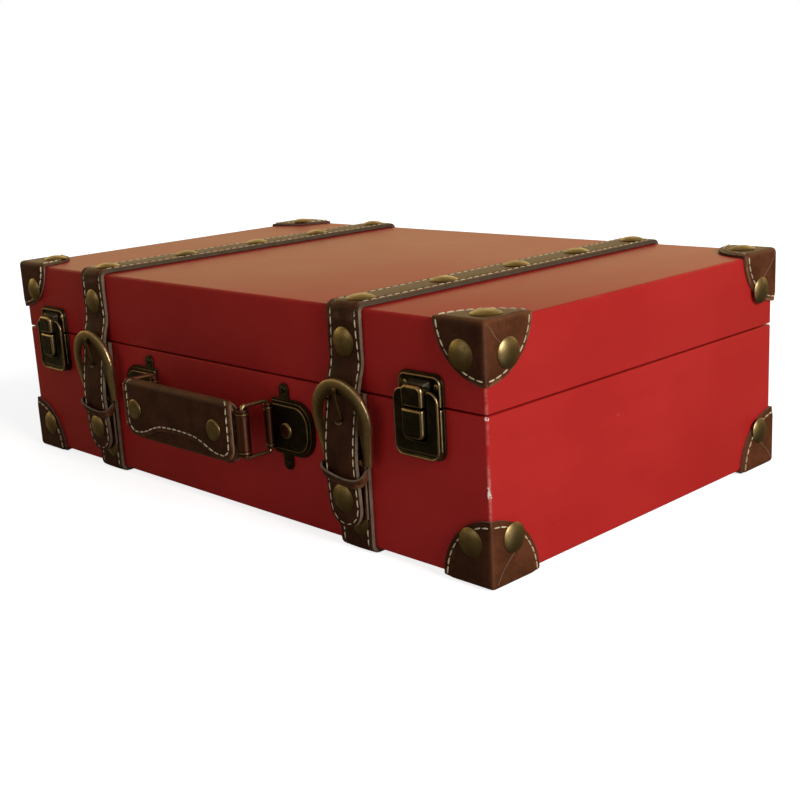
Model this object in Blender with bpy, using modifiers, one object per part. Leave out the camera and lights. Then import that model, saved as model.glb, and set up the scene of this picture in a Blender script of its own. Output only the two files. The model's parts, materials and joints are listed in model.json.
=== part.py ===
"""A small travelling trunk in suitcase form, lying flat, with leather straps, latches and a handle.

The frame has +X to the right seen from the front, the front towards -Y and +Z up. The origin is on
the surface that the trunk lies on, in the middle of the plan of the whole object. Lengths are in
metres. Heights of front fittings are counted from the box's underside, and outward distances from
the box's front face.
"""

from math import cos, pi, radians, sin

import bpy
import bmesh
from mathutils import Matrix, Vector

# Gaps and overlaps
CLEAR = 0.0003
BITE = 0.0006
OVERRUN = 0.004

# Box
BOX_WIDTH = 0.430
BOX_DEPTH = 0.2566
BASE_HEIGHT = 0.0846
LID_HEIGHT = 0.0438
WALL = 0.005
BOX_ROUND = 0.002
LINING_THICK = 0.0012

# Corner leathers
CORNER_REACH = 0.0325
CORNER_THICK = 0.002
CORNER_ROUND = 0.004
CORNER_STUD_INSET = 0.0165

# Dome studs
STUD_RADIUS = 0.00775
STUD_HEIGHT = 0.0027
STUD_SINK = 0.0005
LOW_STUD_RADIUS = 0.007
GRIP_STUD_RADIUS = 0.00625

# Straps, placed at a share of the way from the middle to the box's end
STRAP_PLACE_SHARE = 0.5628
STRAP_WIDTH = 0.0245
STRAP_THICK = 0.0028
STRAP_ROUND = 0.0006
TOP_STUD_INSET = 0.0095
TOP_STUD_COUNT = 5
LID_STUD_DROP = 0.0177
LOW_STUD_DROP = 0.005

# Strap tip: its face stands over the bar by the standoff. Each pair of shares is a height over the
# bar as a share of the length, and how far out the face lies between the strap's face and the standoff
TIP_THICK = 0.0026
TIP_WIDTH = 0.025
TIP_LENGTH = 0.0867
TIP_STANDOFF = 0.0049
TIP_SHARES = (
    (0.5905, 0),
    (0.5075, 0.211),
    (0.4164, 0.408),
    (0.3172, 0.521),
    (0.2249, 0.718),
    (0.0865, 0.944),
    (0, 1),
    (-0.098, 0.958),
    (-0.2134, 0.901),
    (-0.3287, 0.859),
    (-0.4095, 0.831),
)
TIP_SLOT_WIDTH = 0.0036
TIP_SLOT_LOW = 0.0055
TIP_SLOT_HIGH = 0.0315
TIP_STUD_DROP = 0.0223
SHANK_RADIUS = 0.0016

# Buckle, with heights over its bar. A prong's pair of shares is its rise over the bar as a share of
# the buckle's, and how far out it lies between the bar and its tip
BAR_DROP = 0.0361
BAR_REACH = 0.0053
BAR_RADIUS = 0.001
EYE_WALL = 0.0006
BUCKLE_RISE = 0.044
BUCKLE_TOP_REACH = 0.0102
BUCKLE_THICK = 0.0026
BUCKLE_HALF_WIDTH = 0.0222
BUCKLE_FOOT_HALF = 0.0182
BUCKLE_BAND = 0.0080
BUCKLE_LEG = 0.0048
BUCKLE_FOOT_DROP = 0.0012
BUCKLE_ROUND = 0.0009
BUCKLE_LEAN = radians(20)
PRONG_RADIUS = 0.0011
PRONG_EYE_WIDTH = 0.004
PRONG_STANDOFF = 0.0021
PRONG_SHARES = ((0.261, -0.014), (0.443, 0.3), (0.648, 0.814), (0.88, 1))

# Chape and keeper, with distances below the buckle's bar
CHAPE_THICK = 0.0020
CHAPE_LENGTH = 0.0313
CHAPE_LOOP_INNER = 0.003
CHAPE_LOOP_OUTER = 0.0118
KEEPER_DROP = 0.0025
KEEPER_HEIGHT = 0.0110
KEEPER_HALF = 0.0174
KEEPER_THICK = 0.0018
KEEPER_CORNER = 0.004

# Latches, with distances above and below the seam
LATCH_INSET = 0.039
LATCH_WIDTH = 0.030
LATCH_BELOW = 0.0258
LATCH_ABOVE = 0.0166
LATCH_PLATE_THICK = 0.0015
LATCH_CORNER = 0.003
FLAP_BELOW = 0.0253
FLAP_ABOVE = 0.0094
FLAP_REACH = 0.0080
FLAP_THICK = 0.0018
FLAP_ROUND = 0.0006
CHEEK_THICK = 0.0016
CHEEK_REACH = 0.0026
CHEEK_RADIUS = 0.0020
FLAP_AXIS_BELOW = 0.0234
FLAP_AXIS_REACH = 0.0043
FLAP_PIN_RADIUS = 0.0008
KNUCKLE_RADIUS = 0.0016
KNUCKLE_INNER = 0.006
CATCH_WIDTH = 0.014
CATCH_ABOVE = 0.0119
CATCH_REACH = 0.0110
CATCH_ROUND = 0.0008
NOTCH_BELOW = 0.0004
SLIDER_BELOW = 0.0009
SLIDER_HEIGHT = 0.0142
SLIDER_TRAVEL = 0.003
STEM_WIDTH = 0.008
STEM_BELOW = 0.0051
STEM_HEIGHT = 0.005
STEM_FLANGE_WIDTH = 0.012
STEM_FLANGE_THICK = 0.001

# Handle, with heights over and below its middle
HANDLE_DROP = 0.0285
PLATE_LENGTH = 0.034
PLATE_HALF = 0.016
PLATE_CORNER = 0.012
HANDLE_PLATE_THICK = 0.0012
EAR_SETBACK = 0.010
EAR_WIDTH = 0.008
EAR_HALF = 0.0249
CAP_MARGIN = 0.0013
CAP_CORNER = 0.011
CAP_THICK = 0.0016
CAP_ROUND = 0.0005
RIVET_SETBACK = 0.0123
RIVET_RADIUS = 0.0045
RIVET_HEIGHT = 0.0018
EYE_PLACE_SHARE = 0.26047
EYE_REACH = 0.005
EYE_RADIUS = 0.0025
LINK_RADIUS = 0.0013
LINK_LENGTH = 0.018
LINK_HALF = 0.0149
LINK_CORNER = 0.0022
GRIP_TUBE_RADIUS = 0.004
GRIP_END_GAP = 0.0035
GRIP_STANDOFF = 0.0067
GRIP_FRONT_THICK = 0.0026
GRIP_BACK_THICK = 0.0064
GRIP_ROUND = 0.0009
GRIP_BACK_ROUND = 0.0020
GRIP_RISE = 0.0179
GRIP_CORNER = 0.008
GRIP_LOBE_DROP = 0.0169
GRIP_ARCH_DROP = 0.0091
GRIP_EDGE_SHARES = ((0, 1), (0.24, 0.95), (0.47, 0.76), (0.68, 0.42), (0.86, 0.10))
GRIP_BACK_RISE = 0.0164
GRIP_BACK_DROP = 0.0191
GRIP_STUD_SETBACK = 0.0165

# Rear hinges
HINGE_INSET = 0.145
HINGE_WIDTH = 0.024
HINGE_LEAF = 0.016
HINGE_LEAF_THICK = 0.0012
HINGE_REACH = 0.0035
HINGE_KNUCKLE_RADIUS = 0.003
HINGE_PIN_RADIUS = 0.00125
HINGE_MIDDLE = 0.0076
HINGE_LEAF_CORNER = 0.002

# Facets
ARC_STEPS = 4
STUD_SIDES = 12
STUD_RINGS = 3
PIN_SIDES = 12
SPHERE_SEGMENTS = 36
SPHERE_RINGS = 18
WIRE_RESOLUTION = 1
SOFTEN_ANGLE = radians(40)

# Places worked out from the sizes
SEAM = BASE_HEIGHT
TOP = BASE_HEIGHT + LID_HEIGHT
UNDERSIDE = STRAP_THICK + CLEAR
STRAP_X = BOX_WIDTH / 2 * STRAP_PLACE_SHARE
EYE_X = BOX_WIDTH / 2 * EYE_PLACE_SHARE
LATCH_X = BOX_WIDTH / 2 - LATCH_INSET
HINGE_X = BOX_WIDTH / 2 - HINGE_INSET
BAR_HEIGHT = SEAM - BAR_DROP
STRAP_FACE = CLEAR + STRAP_THICK
TIP_REACH = BAR_REACH + TIP_STANDOFF
TIP_PLACES = tuple(
    (STRAP_FACE + out * (TIP_REACH - STRAP_FACE), BAR_HEIGHT + up * TIP_LENGTH) for up, out in TIP_SHARES
)
FOLD_HEIGHT = TIP_PLACES[0][1] + CLEAR
LOW_STUD_HEIGHT = TIP_PLACES[-1][1] - LOW_STUD_DROP
PRONG_REACH = BUCKLE_TOP_REACH + PRONG_STANDOFF
TIP_STUD_HEIGHT = BAR_HEIGHT - TIP_STUD_DROP
KEEPER_HIGH = BAR_HEIGHT - KEEPER_DROP
KEEPER_LOW = KEEPER_HIGH - KEEPER_HEIGHT
FLAP_AXIS_HEIGHT = SEAM - FLAP_AXIS_BELOW
FLAP_LOW = SEAM - FLAP_BELOW
FLAP_HIGH = SEAM + FLAP_ABOVE
SLIDER_HIGH = SEAM - SLIDER_BELOW
STEM_HIGH = SEAM - STEM_BELOW
STEM_LOW = STEM_HIGH - STEM_HEIGHT
HANDLE_HEIGHT = SEAM - HANDLE_DROP
PLATE_OUTER = EYE_X + PLATE_LENGTH
GRIP_HALF = EYE_X - GRIP_END_GAP
GRIP_REACH = EYE_REACH + LINK_LENGTH + GRIP_STANDOFF
HANDLE_STANDOUT = GRIP_REACH + CLEAR + STUD_HEIGHT
REAR_STANDOUT = HINGE_REACH + HINGE_KNUCKLE_RADIUS
FRONT = HANDLE_STANDOUT - (BOX_DEPTH + HANDLE_STANDOUT + REAR_STANDOUT) / 2
BACK = FRONT + BOX_DEPTH
TURN = 2 * pi

# Colours: linear red, green and blue, then roughness and metallic
FINISHES = {
    "red_covering": ((0.42, 0.022, 0.020), 0.55, 0.0),
    "lining_cloth": ((0.30, 0.20, 0.11), 0.90, 0.0),
    "brown_leather": ((0.085, 0.040, 0.018), 0.55, 0.0),
    "antique_brass": ((0.25, 0.17, 0.07), 0.38, 1.0),
    "bronze": ((0.17, 0.09, 0.05), 0.40, 1.0),
}


def clear_scene():
    """Remove every object that the scene starts with."""
    for item in list(bpy.data.objects):
        bpy.data.objects.remove(item, do_unlink=True)


def make_materials():
    """Make one Principled material for each finish."""
    made = {}
    for name, (colour, roughness, metallic) in FINISHES.items():
        material = bpy.data.materials.new(name)
        material.use_nodes = True
        shader = material.node_tree.nodes["Principled BSDF"]
        shader.inputs["Base Color"].default_value = (*colour, 1.0)
        shader.inputs["Roughness"].default_value = roughness
        shader.inputs["Metallic"].default_value = metallic
        made[name] = material
    return made


def place(x, reach, height):
    """Point at a distance out from the front face and a height over the box's underside."""
    return Vector((x, FRONT - reach, UNDERSIDE + height))


def settle(item):
    """Give the object the mesh that its modifiers and curve data make, and drop both."""
    depsgraph = bpy.context.evaluated_depsgraph_get()
    mesh = bpy.data.meshes.new_from_object(item.evaluated_get(depsgraph))
    solid = bpy.data.objects.new(item.name, mesh)
    solid.matrix_world = item.matrix_world.copy()
    bpy.context.scene.collection.objects.link(solid)
    bpy.data.objects.remove(item, do_unlink=True)
    work = bmesh.new()
    work.from_mesh(mesh)
    bmesh.ops.remove_doubles(work, verts=work.verts, dist=CLEAR / 100)
    bmesh.ops.recalc_face_normals(work, faces=work.faces)
    work.to_mesh(mesh)
    work.free()
    bpy.context.view_layer.update()
    return solid


def from_bmesh(work):
    """Object that holds a bmesh's mesh."""
    bmesh.ops.recalc_face_normals(work, faces=work.faces)
    mesh = bpy.data.meshes.new("form")
    work.to_mesh(mesh)
    work.free()
    item = bpy.data.objects.new("form", mesh)
    bpy.context.scene.collection.objects.link(item)
    return item


def block(low, high):
    """Box between two corner points."""
    size = Vector(high) - Vector(low)
    work = bmesh.new()
    bmesh.ops.create_cube(work, size=1)
    bmesh.ops.scale(work, vec=size, verts=work.verts)
    bmesh.ops.translate(work, vec=Vector(low) + size / 2, verts=work.verts)
    return from_bmesh(work)


def ball(centre, radius):
    """Sphere about a point."""
    work = bmesh.new()
    bmesh.ops.create_uvsphere(work, u_segments=SPHERE_SEGMENTS, v_segments=SPHERE_RINGS, radius=radius)
    bmesh.ops.translate(work, vec=centre, verts=work.verts)
    return from_bmesh(work)


def rod(start, end, radius, sides=PIN_SIDES):
    """Cylinder from one point to another."""
    axis = Vector(end) - Vector(start)
    turn = Vector((0, 0, 1)).rotation_difference(axis).to_matrix().to_4x4()
    work = bmesh.new()
    bmesh.ops.create_cone(
        work, cap_ends=True, segments=sides, radius1=radius, radius2=radius, depth=axis.length
    )
    bmesh.ops.transform(work, matrix=turn, verts=work.verts)
    bmesh.ops.translate(work, vec=(Vector(start) + Vector(end)) / 2, verts=work.verts)
    return from_bmesh(work)


def dome(point, direction, radius, height, sink=STUD_SINK):
    """Domed stud head whose flat base lies a little inside the surface at a point."""
    profile = [(0, -sink), (radius, -sink), (radius, 0)]
    for ring in range(1, STUD_RINGS):
        angle = pi / 2 * ring / STUD_RINGS
        profile.append((radius * cos(angle), height * sin(angle)))
    profile.append((0, height))
    work = bmesh.new()
    rims = [work.verts.new((x, 0, z)) for x, z in profile]
    edges = [work.edges.new(pair) for pair in zip(rims, rims[1:])]
    bmesh.ops.spin(
        work, geom=rims + edges, cent=(0, 0, 0), axis=(0, 0, 1), angle=TURN, steps=STUD_SIDES
    )
    bmesh.ops.remove_doubles(work, verts=work.verts, dist=CLEAR / 100)
    turn = Vector((0, 0, 1)).rotation_difference(Vector(direction)).to_matrix().to_4x4()
    bmesh.ops.transform(work, matrix=Matrix.Translation(point) @ turn, verts=work.verts)
    return from_bmesh(work)


def arc(centre, radius, start, end, steps=ARC_STEPS):
    """Points along an arc in the plane of an outline, both ends included."""
    angles = [start + (end - start) * step / steps for step in range(steps + 1)]
    return [(centre[0] + radius * cos(angle), centre[1] + radius * sin(angle)) for angle in angles]


def round_outline(left, right, low, high, corner):
    """Rectangle with round corners, anticlockwise from its lower right corner."""
    points = arc((right - corner, low + corner), corner, -pi / 2, 0)
    points += arc((right - corner, high - corner), corner, 0, pi / 2)
    points += arc((left + corner, high - corner), corner, pi / 2, pi)
    points += arc((left + corner, low + corner), corner, pi, 3 * pi / 2)
    return points


# Frames that stand an outline's plane in the part: first axis, second axis, extrusion axis
FACING = Matrix(((1, 0, 0, 0), (0, 0, -1, 0), (0, 1, 0, 0), (0, 0, 0, 1)))
SIDEWAYS = Matrix(((0, 0, 1, 0), (1, 0, 0, 0), (0, 1, 0, 0), (0, 0, 0, 1)))
FLAT = Matrix.Identity(4)


def slab(outlines, thickness, frame, origin):
    """Flat outline, with any holes, extruded both ways from its plane by half its thickness."""
    curve = bpy.data.curves.new("outline", "CURVE")
    curve.dimensions = "2D"
    curve.fill_mode = "BOTH"
    curve.extrude = thickness / 2
    for points in outlines:
        spline = curve.splines.new("POLY")
        spline.points.add(len(points) - 1)
        for corner, (u, v) in zip(spline.points, points):
            corner.co = (u, v, 0, 1)
        spline.use_cyclic_u = True
    item = bpy.data.objects.new("outline", curve)
    bpy.context.scene.collection.objects.link(item)
    item.matrix_world = Matrix.Translation(origin) @ frame
    bpy.context.view_layer.update()
    return bake_place(settle(item))


def wire(points, radius, closed=False):
    """Round wire along points, with capped ends unless it closes on itself."""
    curve = bpy.data.curves.new("wire", "CURVE")
    curve.dimensions = "3D"
    curve.bevel_depth = radius
    curve.bevel_resolution = WIRE_RESOLUTION
    curve.use_fill_caps = not closed
    spline = curve.splines.new("POLY")
    spline.points.add(len(points) - 1)
    for corner, point in zip(spline.points, points):
        corner.co = (*point, 1)
    spline.use_cyclic_u = closed
    item = bpy.data.objects.new("wire", curve)
    bpy.context.scene.collection.objects.link(item)
    bpy.context.view_layer.update()
    return settle(item)


def bake_place(item):
    """Move an object's place into its mesh."""
    item.data.transform(item.matrix_world)
    item.matrix_world = Matrix.Identity(4)
    return item


def bevelled(item, width, segments=2, angle=SOFTEN_ANGLE):
    """Round the sharp edges of an object."""
    rounding = item.modifiers.new("rounding", "BEVEL")
    rounding.width = width
    rounding.segments = segments
    rounding.limit_method = "ANGLE"
    rounding.angle_limit = angle
    rounding.use_clamp_overlap = True
    return settle(item)


def combine(item, other, operation):
    """Apply an exact Boolean to an object and drop the other one."""
    step = item.modifiers.new("combine", "BOOLEAN")
    step.operation = operation
    step.solver = "EXACT"
    step.object = other
    bpy.context.view_layer.update()
    result = settle(item)
    bpy.data.objects.remove(other, do_unlink=True)
    return result


def joined(item, *others):
    """One solid from several that overlap."""
    for other in others:
        item = combine(item, other, "UNION")
    return item


def cut(item, *cutters):
    """Solid less its cutters."""
    for cutter in cutters:
        item = combine(item, cutter, "DIFFERENCE")
    return item


def mirrored(item, x=False, y=False):
    """Copy of a solid mirrored across the object's middle planes, with its faces still outward."""
    mesh = item.data.copy()
    if x:
        mesh.transform(Matrix.Scale(-1, 4, (1, 0, 0)))
    if y:
        middle = Matrix.Translation((0, (FRONT + BACK) / 2, 0))
        mesh.transform(middle @ Matrix.Scale(-1, 4, (0, 1, 0)) @ middle.inverted())
    if x != y:
        mesh.flip_normals()
    copy = bpy.data.objects.new("copy", mesh)
    bpy.context.scene.collection.objects.link(copy)
    return copy


class Trunk:
    """Collects the finished pieces in one collection and gives each its material and origin."""

    def __init__(self, materials):
        self.materials = materials
        self.parts = bpy.data.collections.new("trunk")
        bpy.context.scene.collection.children.link(self.parts)

    def add(self, item, name, finish, origin=(0, 0, 0)):
        """Name a solid, paint it and put its origin at a point, such as on its joint's axis."""
        item.name = name
        item.data.name = name
        item.data.transform(Matrix.Translation(-Vector(origin)))
        item.location = origin
        item.data.materials.clear()
        item.data.materials.append(self.materials[finish])
        item.data.shade_smooth()
        item.data.set_sharp_from_angle(angle=SOFTEN_ANGLE)
        for holder in list(item.users_collection):
            holder.objects.unlink(item)
        self.parts.objects.link(item)
        return item


def tray(low, high, inset, wall, rounding):
    """Closed box, inset from the box's outline, with a cavity that runs out past one end.

    The cavity is open upward where low is the floor, and downward where low is over high.
    """
    floor, rim = low, high
    way = 1 if rim > floor else -1
    half = BOX_WIDTH / 2 - inset
    front, back = FRONT + inset, BACK - inset
    levels = sorted((floor, rim + way * OVERRUN))
    shell = block((-half, front, levels[0]), (half, back, levels[1]))
    if rounding:
        shell = bevelled(shell, rounding)
    ends = sorted((rim, rim + way * 2 * OVERRUN))
    above = block((-half - OVERRUN, front - OVERRUN, ends[0]), (half + OVERRUN, back + OVERRUN, ends[1]))
    sides = sorted((floor + way * wall, rim + way * OVERRUN))
    cavity = block((-half + wall, front + wall, sides[0]), (half - wall, back - wall, sides[1]))
    return cut(shell, above, cavity)


def add_box(trunk):
    """Base and lid shells with their linings."""
    under, seam, top = UNDERSIDE, UNDERSIDE + SEAM, UNDERSIDE + TOP
    base_rim, lid_rim = seam - CLEAR / 2, seam + CLEAR / 2
    inner = WALL + CLEAR
    trunk.add(tray(under, base_rim, 0, WALL, BOX_ROUND), "base_shell", "red_covering")
    trunk.add(tray(under + inner, base_rim, inner, LINING_THICK, 0), "base_lining", "lining_cloth")
    axis = hinge_axis(0)
    trunk.add(tray(top, lid_rim, 0, WALL, BOX_ROUND), "lid_shell", "red_covering", axis)
    trunk.add(tray(top - inner, lid_rim, inner, LINING_THICK, 0), "lid_lining", "lining_cloth", axis)


def corner_leather(height, way, studs_on_end):
    """Front right corner cap: a shell round the box's corner, trimmed by a ball, with its studs.

    Args:
        height: height of the box's corner.
        way: 1 for a corner of the lid, -1 for one of the base.
        studs_on_end: whether the lid's top or the base's underside holds a stud too.
    """
    corner = Vector((BOX_WIDTH / 2, FRONT, height))
    out = CLEAR + CORNER_THICK
    far = CORNER_REACH + OVERRUN
    outer_ends = sorted((height - way * far, height + way * out))
    outer = block(
        (corner.x - far, corner.y - out, outer_ends[0]), (corner.x + out, corner.y + far, outer_ends[1])
    )
    inner_ends = sorted((height - way * 2 * far, height + way * CLEAR))
    inner = block(
        (corner.x - 2 * far, corner.y - CLEAR, inner_ends[0]),
        (corner.x + CLEAR, corner.y + 2 * far, inner_ends[1]),
    )
    cap = bevelled(outer, CORNER_ROUND, segments=3)
    cap = combine(cap, ball(corner, CORNER_REACH), "INTERSECT")
    cap = cut(cap, bevelled(inner, BOX_ROUND))
    inset = CORNER_STUD_INSET
    level = height - way * inset
    studs = [
        dome((corner.x - inset, corner.y - out, level), (0, -1, 0), STUD_RADIUS, STUD_HEIGHT),
        dome((corner.x + out, corner.y + inset, level), (1, 0, 0), STUD_RADIUS, STUD_HEIGHT),
    ]
    if studs_on_end:
        end = (corner.x - inset, corner.y + inset, height + way * out)
        studs.append(dome(end, (0, 0, way), STUD_RADIUS, STUD_HEIGHT))
    return joined(cap, *studs)


def add_corners(trunk):
    """Eight corner leathers, mirrored from one of the lid and one of the base."""
    rows = (
        ("lid", corner_leather(UNDERSIDE + TOP, 1, True), hinge_axis(0)),
        ("base", corner_leather(UNDERSIDE, -1, False), (0, 0, 0)),
    )
    for row, pattern, origin in rows:
        for side, left in (("right", False), ("left", True)):
            for end, rear in (("front", False), ("back", True)):
                copy = mirrored(pattern, x=left, y=rear)
                trunk.add(copy, f"{row}_corner_{end}_{side}", "brown_leather", origin)
        bpy.data.objects.remove(pattern, do_unlink=True)


def hinge_axis(x):
    """Point on the lid's hinge axis."""
    return Vector((x, BACK + HINGE_REACH, UNDERSIDE + SEAM))


def hinge_leaf(x, way):
    """One leaf of a rear hinge, with its knuckles cut for the pin.

    The base's leaf, way -1, has the two outer knuckles and the lid's leaf, way 1, the middle one.
    """
    axis = hinge_axis(x)
    half = HINGE_WIDTH / 2
    middle = HINGE_MIDDLE / 2
    near = HINGE_KNUCKLE_RADIUS + 2 * CLEAR
    levels = sorted((axis.z + way * CLEAR, axis.z + way * HINGE_LEAF))
    outline = round_outline(x - half, x + half, levels[0], levels[1], HINGE_LEAF_CORNER)
    back = axis.y - HINGE_REACH
    leaf = slab([outline], HINGE_LEAF_THICK, FACING, (0, back + CLEAR + HINGE_LEAF_THICK / 2, 0))
    outer, inner = half - CLEAR, middle + CLEAR / 2
    knuckles, gaps = [(-outer, -inner), (inner, outer)], [(-inner - CLEAR, inner + CLEAR)]
    if way > 0:
        inner = middle - CLEAR / 2
        knuckles = [(-inner, inner)]
        gaps = [(-half - OVERRUN, CLEAR - inner), (inner - CLEAR, half + OVERRUN)]
    for start, end in gaps:
        arm = sorted((axis.z - way * OVERRUN, axis.z + way * near))
        leaf = cut(leaf, block((x + start, back, arm[0]), (x + end, axis.y, arm[1])))
    for start, end in knuckles:
        across = Vector((1, 0, 0))
        leaf = joined(leaf, rod(axis + across * start, axis + across * end, HINGE_KNUCKLE_RADIUS))
    reach = Vector((half + OVERRUN, 0, 0))
    return cut(leaf, rod(axis - reach, axis + reach, HINGE_PIN_RADIUS + CLEAR))


def add_hinges(trunk):
    """Two rear hinges, each with a leaf on the base, a leaf on the lid and a pin."""
    for side, x in (("right", HINGE_X), ("left", -HINGE_X)):
        axis = hinge_axis(x)
        half = Vector((HINGE_WIDTH / 2, 0, 0))
        trunk.add(hinge_leaf(x, -1), f"hinge_base_leaf_{side}", "antique_brass")
        trunk.add(hinge_leaf(x, 1), f"hinge_lid_leaf_{side}", "antique_brass", axis)
        pin = rod(axis - half, axis + half, HINGE_PIN_RADIUS)
        trunk.add(pin, f"hinge_pin_{side}", "antique_brass", axis)


def front_slab(x, outlines, reach, thickness):
    """Slab on the front whose back lies at a reach, from outlines centred on x."""
    placed = [[(x + u, UNDERSIDE + v) for u, v in outline] for outline in outlines]
    return slab(placed, thickness, FACING, (0, FRONT - reach - thickness / 2, 0))


def front_block(x, half, near, far, low, high):
    """Box on the front between two reaches and two heights, centred on x."""
    return block((x - half, FRONT - far, UNDERSIDE + low), (x + half, FRONT - near, UNDERSIDE + high))


def front_rod(x, start, end, reach, height, radius):
    """Cylinder along X between two offsets from x."""
    return rod(place(x + start, reach, height), place(x + end, reach, height), radius)


def latch_plates(x):
    """Upper plate with its catch, and lower plate with its knuckles."""
    half = LATCH_WIDTH / 2
    face = CLEAR + LATCH_PLATE_THICK
    upper_outline = round_outline(-half, half, SEAM + CLEAR, SEAM + LATCH_ABOVE, LATCH_CORNER)
    catch = front_block(x, CATCH_WIDTH / 2, face - BITE, CATCH_REACH, SEAM + CLEAR, SEAM + CATCH_ABOVE)
    upper = joined(
        front_slab(x, [upper_outline], CLEAR, LATCH_PLATE_THICK), bevelled(catch, CATCH_ROUND)
    )
    lower_outline = round_outline(-half, half, SEAM - LATCH_BELOW, SEAM - CLEAR, LATCH_CORNER)
    lower = front_slab(x, [lower_outline], CLEAR, LATCH_PLATE_THICK)
    height, reach = FLAP_AXIS_HEIGHT, FLAP_AXIS_REACH
    outer = half - CHEEK_THICK - CLEAR
    for start, end in ((-outer, -KNUCKLE_INNER), (KNUCKLE_INNER, outer)):
        middle = x + (start + end) / 2
        arm = front_block(
            middle, (end - start) / 2, face - BITE, reach, height - KNUCKLE_RADIUS, height + KNUCKLE_RADIUS
        )
        lower = joined(lower, arm, front_rod(x, start, end, reach, height, KNUCKLE_RADIUS))
    bore = front_rod(x, -half, half, reach, height, FLAP_PIN_RADIUS + CLEAR)
    return upper, cut(lower, bore)


def latch_flap(x):
    """Hinged flap: a front with two side cheeks, notched for the catch and slotted for the slider."""
    half = LATCH_WIDTH / 2
    outline = round_outline(-half, half, FLAP_LOW, FLAP_HIGH, LATCH_CORNER)
    flap = front_slab(x, [outline], FLAP_REACH - FLAP_THICK, FLAP_THICK)
    flap = bevelled(flap, FLAP_ROUND)
    inner = FLAP_REACH - FLAP_THICK
    for way in (-1, 1):
        centre = x + way * (half - CHEEK_THICK / 2)
        cheek = front_block(
            centre, CHEEK_THICK / 2, CHEEK_REACH, inner + BITE, FLAP_AXIS_HEIGHT, FLAP_HIGH - LATCH_CORNER
        )
        start, end = sorted((way * (half - CHEEK_THICK), way * half))
        boss = front_rod(x, start, end, FLAP_AXIS_REACH, FLAP_AXIS_HEIGHT, CHEEK_RADIUS)
        flap = joined(flap, cheek, boss)
    bore = front_rod(x, -2 * half, 2 * half, FLAP_AXIS_REACH, FLAP_AXIS_HEIGHT, FLAP_PIN_RADIUS + CLEAR)
    notch = front_block(
        x, CATCH_WIDTH / 2 + CLEAR, 0, CATCH_REACH, SEAM - NOTCH_BELOW, FLAP_HIGH + OVERRUN
    )
    slot = front_block(
        x, STEM_WIDTH / 2 + CLEAR, 0, CATCH_REACH,
        STEM_LOW - SLIDER_TRAVEL - CLEAR, STEM_HIGH + CLEAR,
    )
    return cut(flap, bore, notch, slot)


def latch_slider(x):
    """Sliding button: a block on the flap's face, its stem through the slot and a flange behind."""
    low = SLIDER_HIGH - SLIDER_HEIGHT
    button = front_block(x, CATCH_WIDTH / 2, FLAP_REACH + CLEAR, CATCH_REACH, low, SLIDER_HIGH)
    inner = FLAP_REACH - FLAP_THICK - CLEAR
    stem = front_block(
        x, STEM_WIDTH / 2, inner - STEM_FLANGE_THICK / 2, FLAP_REACH + CLEAR + BITE, STEM_LOW, STEM_HIGH
    )
    flange = front_block(
        x, STEM_FLANGE_WIDTH / 2, inner - STEM_FLANGE_THICK, inner, STEM_LOW - CLEAR, STEM_HIGH + CLEAR
    )
    return joined(bevelled(button, CATCH_ROUND), stem, flange)


def add_latches(trunk):
    """Two latches, with the lid's plate turning with the lid."""
    lid_axis = hinge_axis(0)
    for side, x in (("right", LATCH_X), ("left", -LATCH_X)):
        axis = place(x, FLAP_AXIS_REACH, FLAP_AXIS_HEIGHT)
        upper, lower = latch_plates(x)
        trunk.add(upper, f"latch_upper_plate_{side}", "antique_brass", lid_axis)
        trunk.add(lower, f"latch_lower_plate_{side}", "antique_brass")
        trunk.add(latch_flap(x), f"latch_flap_{side}", "antique_brass", axis)
        trunk.add(latch_slider(x), f"latch_slider_{side}", "antique_brass", axis)
        half = LATCH_WIDTH / 2
        pin = front_rod(x, -half, half, FLAP_AXIS_REACH, FLAP_AXIS_HEIGHT, FLAP_PIN_RADIUS)
        trunk.add(pin, f"latch_pin_{side}", "antique_brass")


def wrap_outline(front_end, back_end, turn, way):
    """Section of a strap that lies round two edges of the box, in depth and height.

    Args:
        front_end: height where the strap ends on the front.
        back_end: height where it ends on the back.
        turn: height of the face that it crosses, the box's top or underside.
        way: 1 where that face is the top, -1 where it is the underside.
    """
    centre_height = turn - way * BOX_ROUND
    front, back = (FRONT + BOX_ROUND, centre_height), (BACK - BOX_ROUND, centre_height)
    inner = BOX_ROUND + CLEAR
    outer = inner + STRAP_THICK
    points = [(FRONT - CLEAR - STRAP_THICK, front_end)]
    points += arc(front, outer, pi, way * pi / 2 + (way < 0) * TURN)
    points += arc(back, outer, way * pi / 2, 0)
    points += [(BACK + CLEAR + STRAP_THICK, back_end), (BACK + CLEAR, back_end)]
    points += arc(back, inner, 0, way * pi / 2)
    points += arc(front, inner, way * pi / 2 + (way < 0) * TURN, pi)
    points.append((FRONT - CLEAR, front_end))
    return points


def lid_strap(x):
    """Strap over the lid, from the tab's fold on the front to the seam at the back, with its studs."""
    outline = wrap_outline(
        UNDERSIDE + FOLD_HEIGHT + CLEAR / 2, UNDERSIDE + SEAM + CLEAR / 2, UNDERSIDE + TOP, 1
    )
    strap = bevelled(slab([outline], STRAP_WIDTH, SIDEWAYS, (x, 0, 0)), STRAP_ROUND, segments=1)
    pitch = (BOX_DEPTH - 2 * TOP_STUD_INSET) / (TOP_STUD_COUNT - 1)
    for step in range(TOP_STUD_COUNT):
        point = place(x, -TOP_STUD_INSET - step * pitch, TOP + CLEAR + STRAP_THICK)
        strap = joined(strap, dome(point, (0, 0, 1), STUD_RADIUS, STUD_HEIGHT))
    return strap


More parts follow.
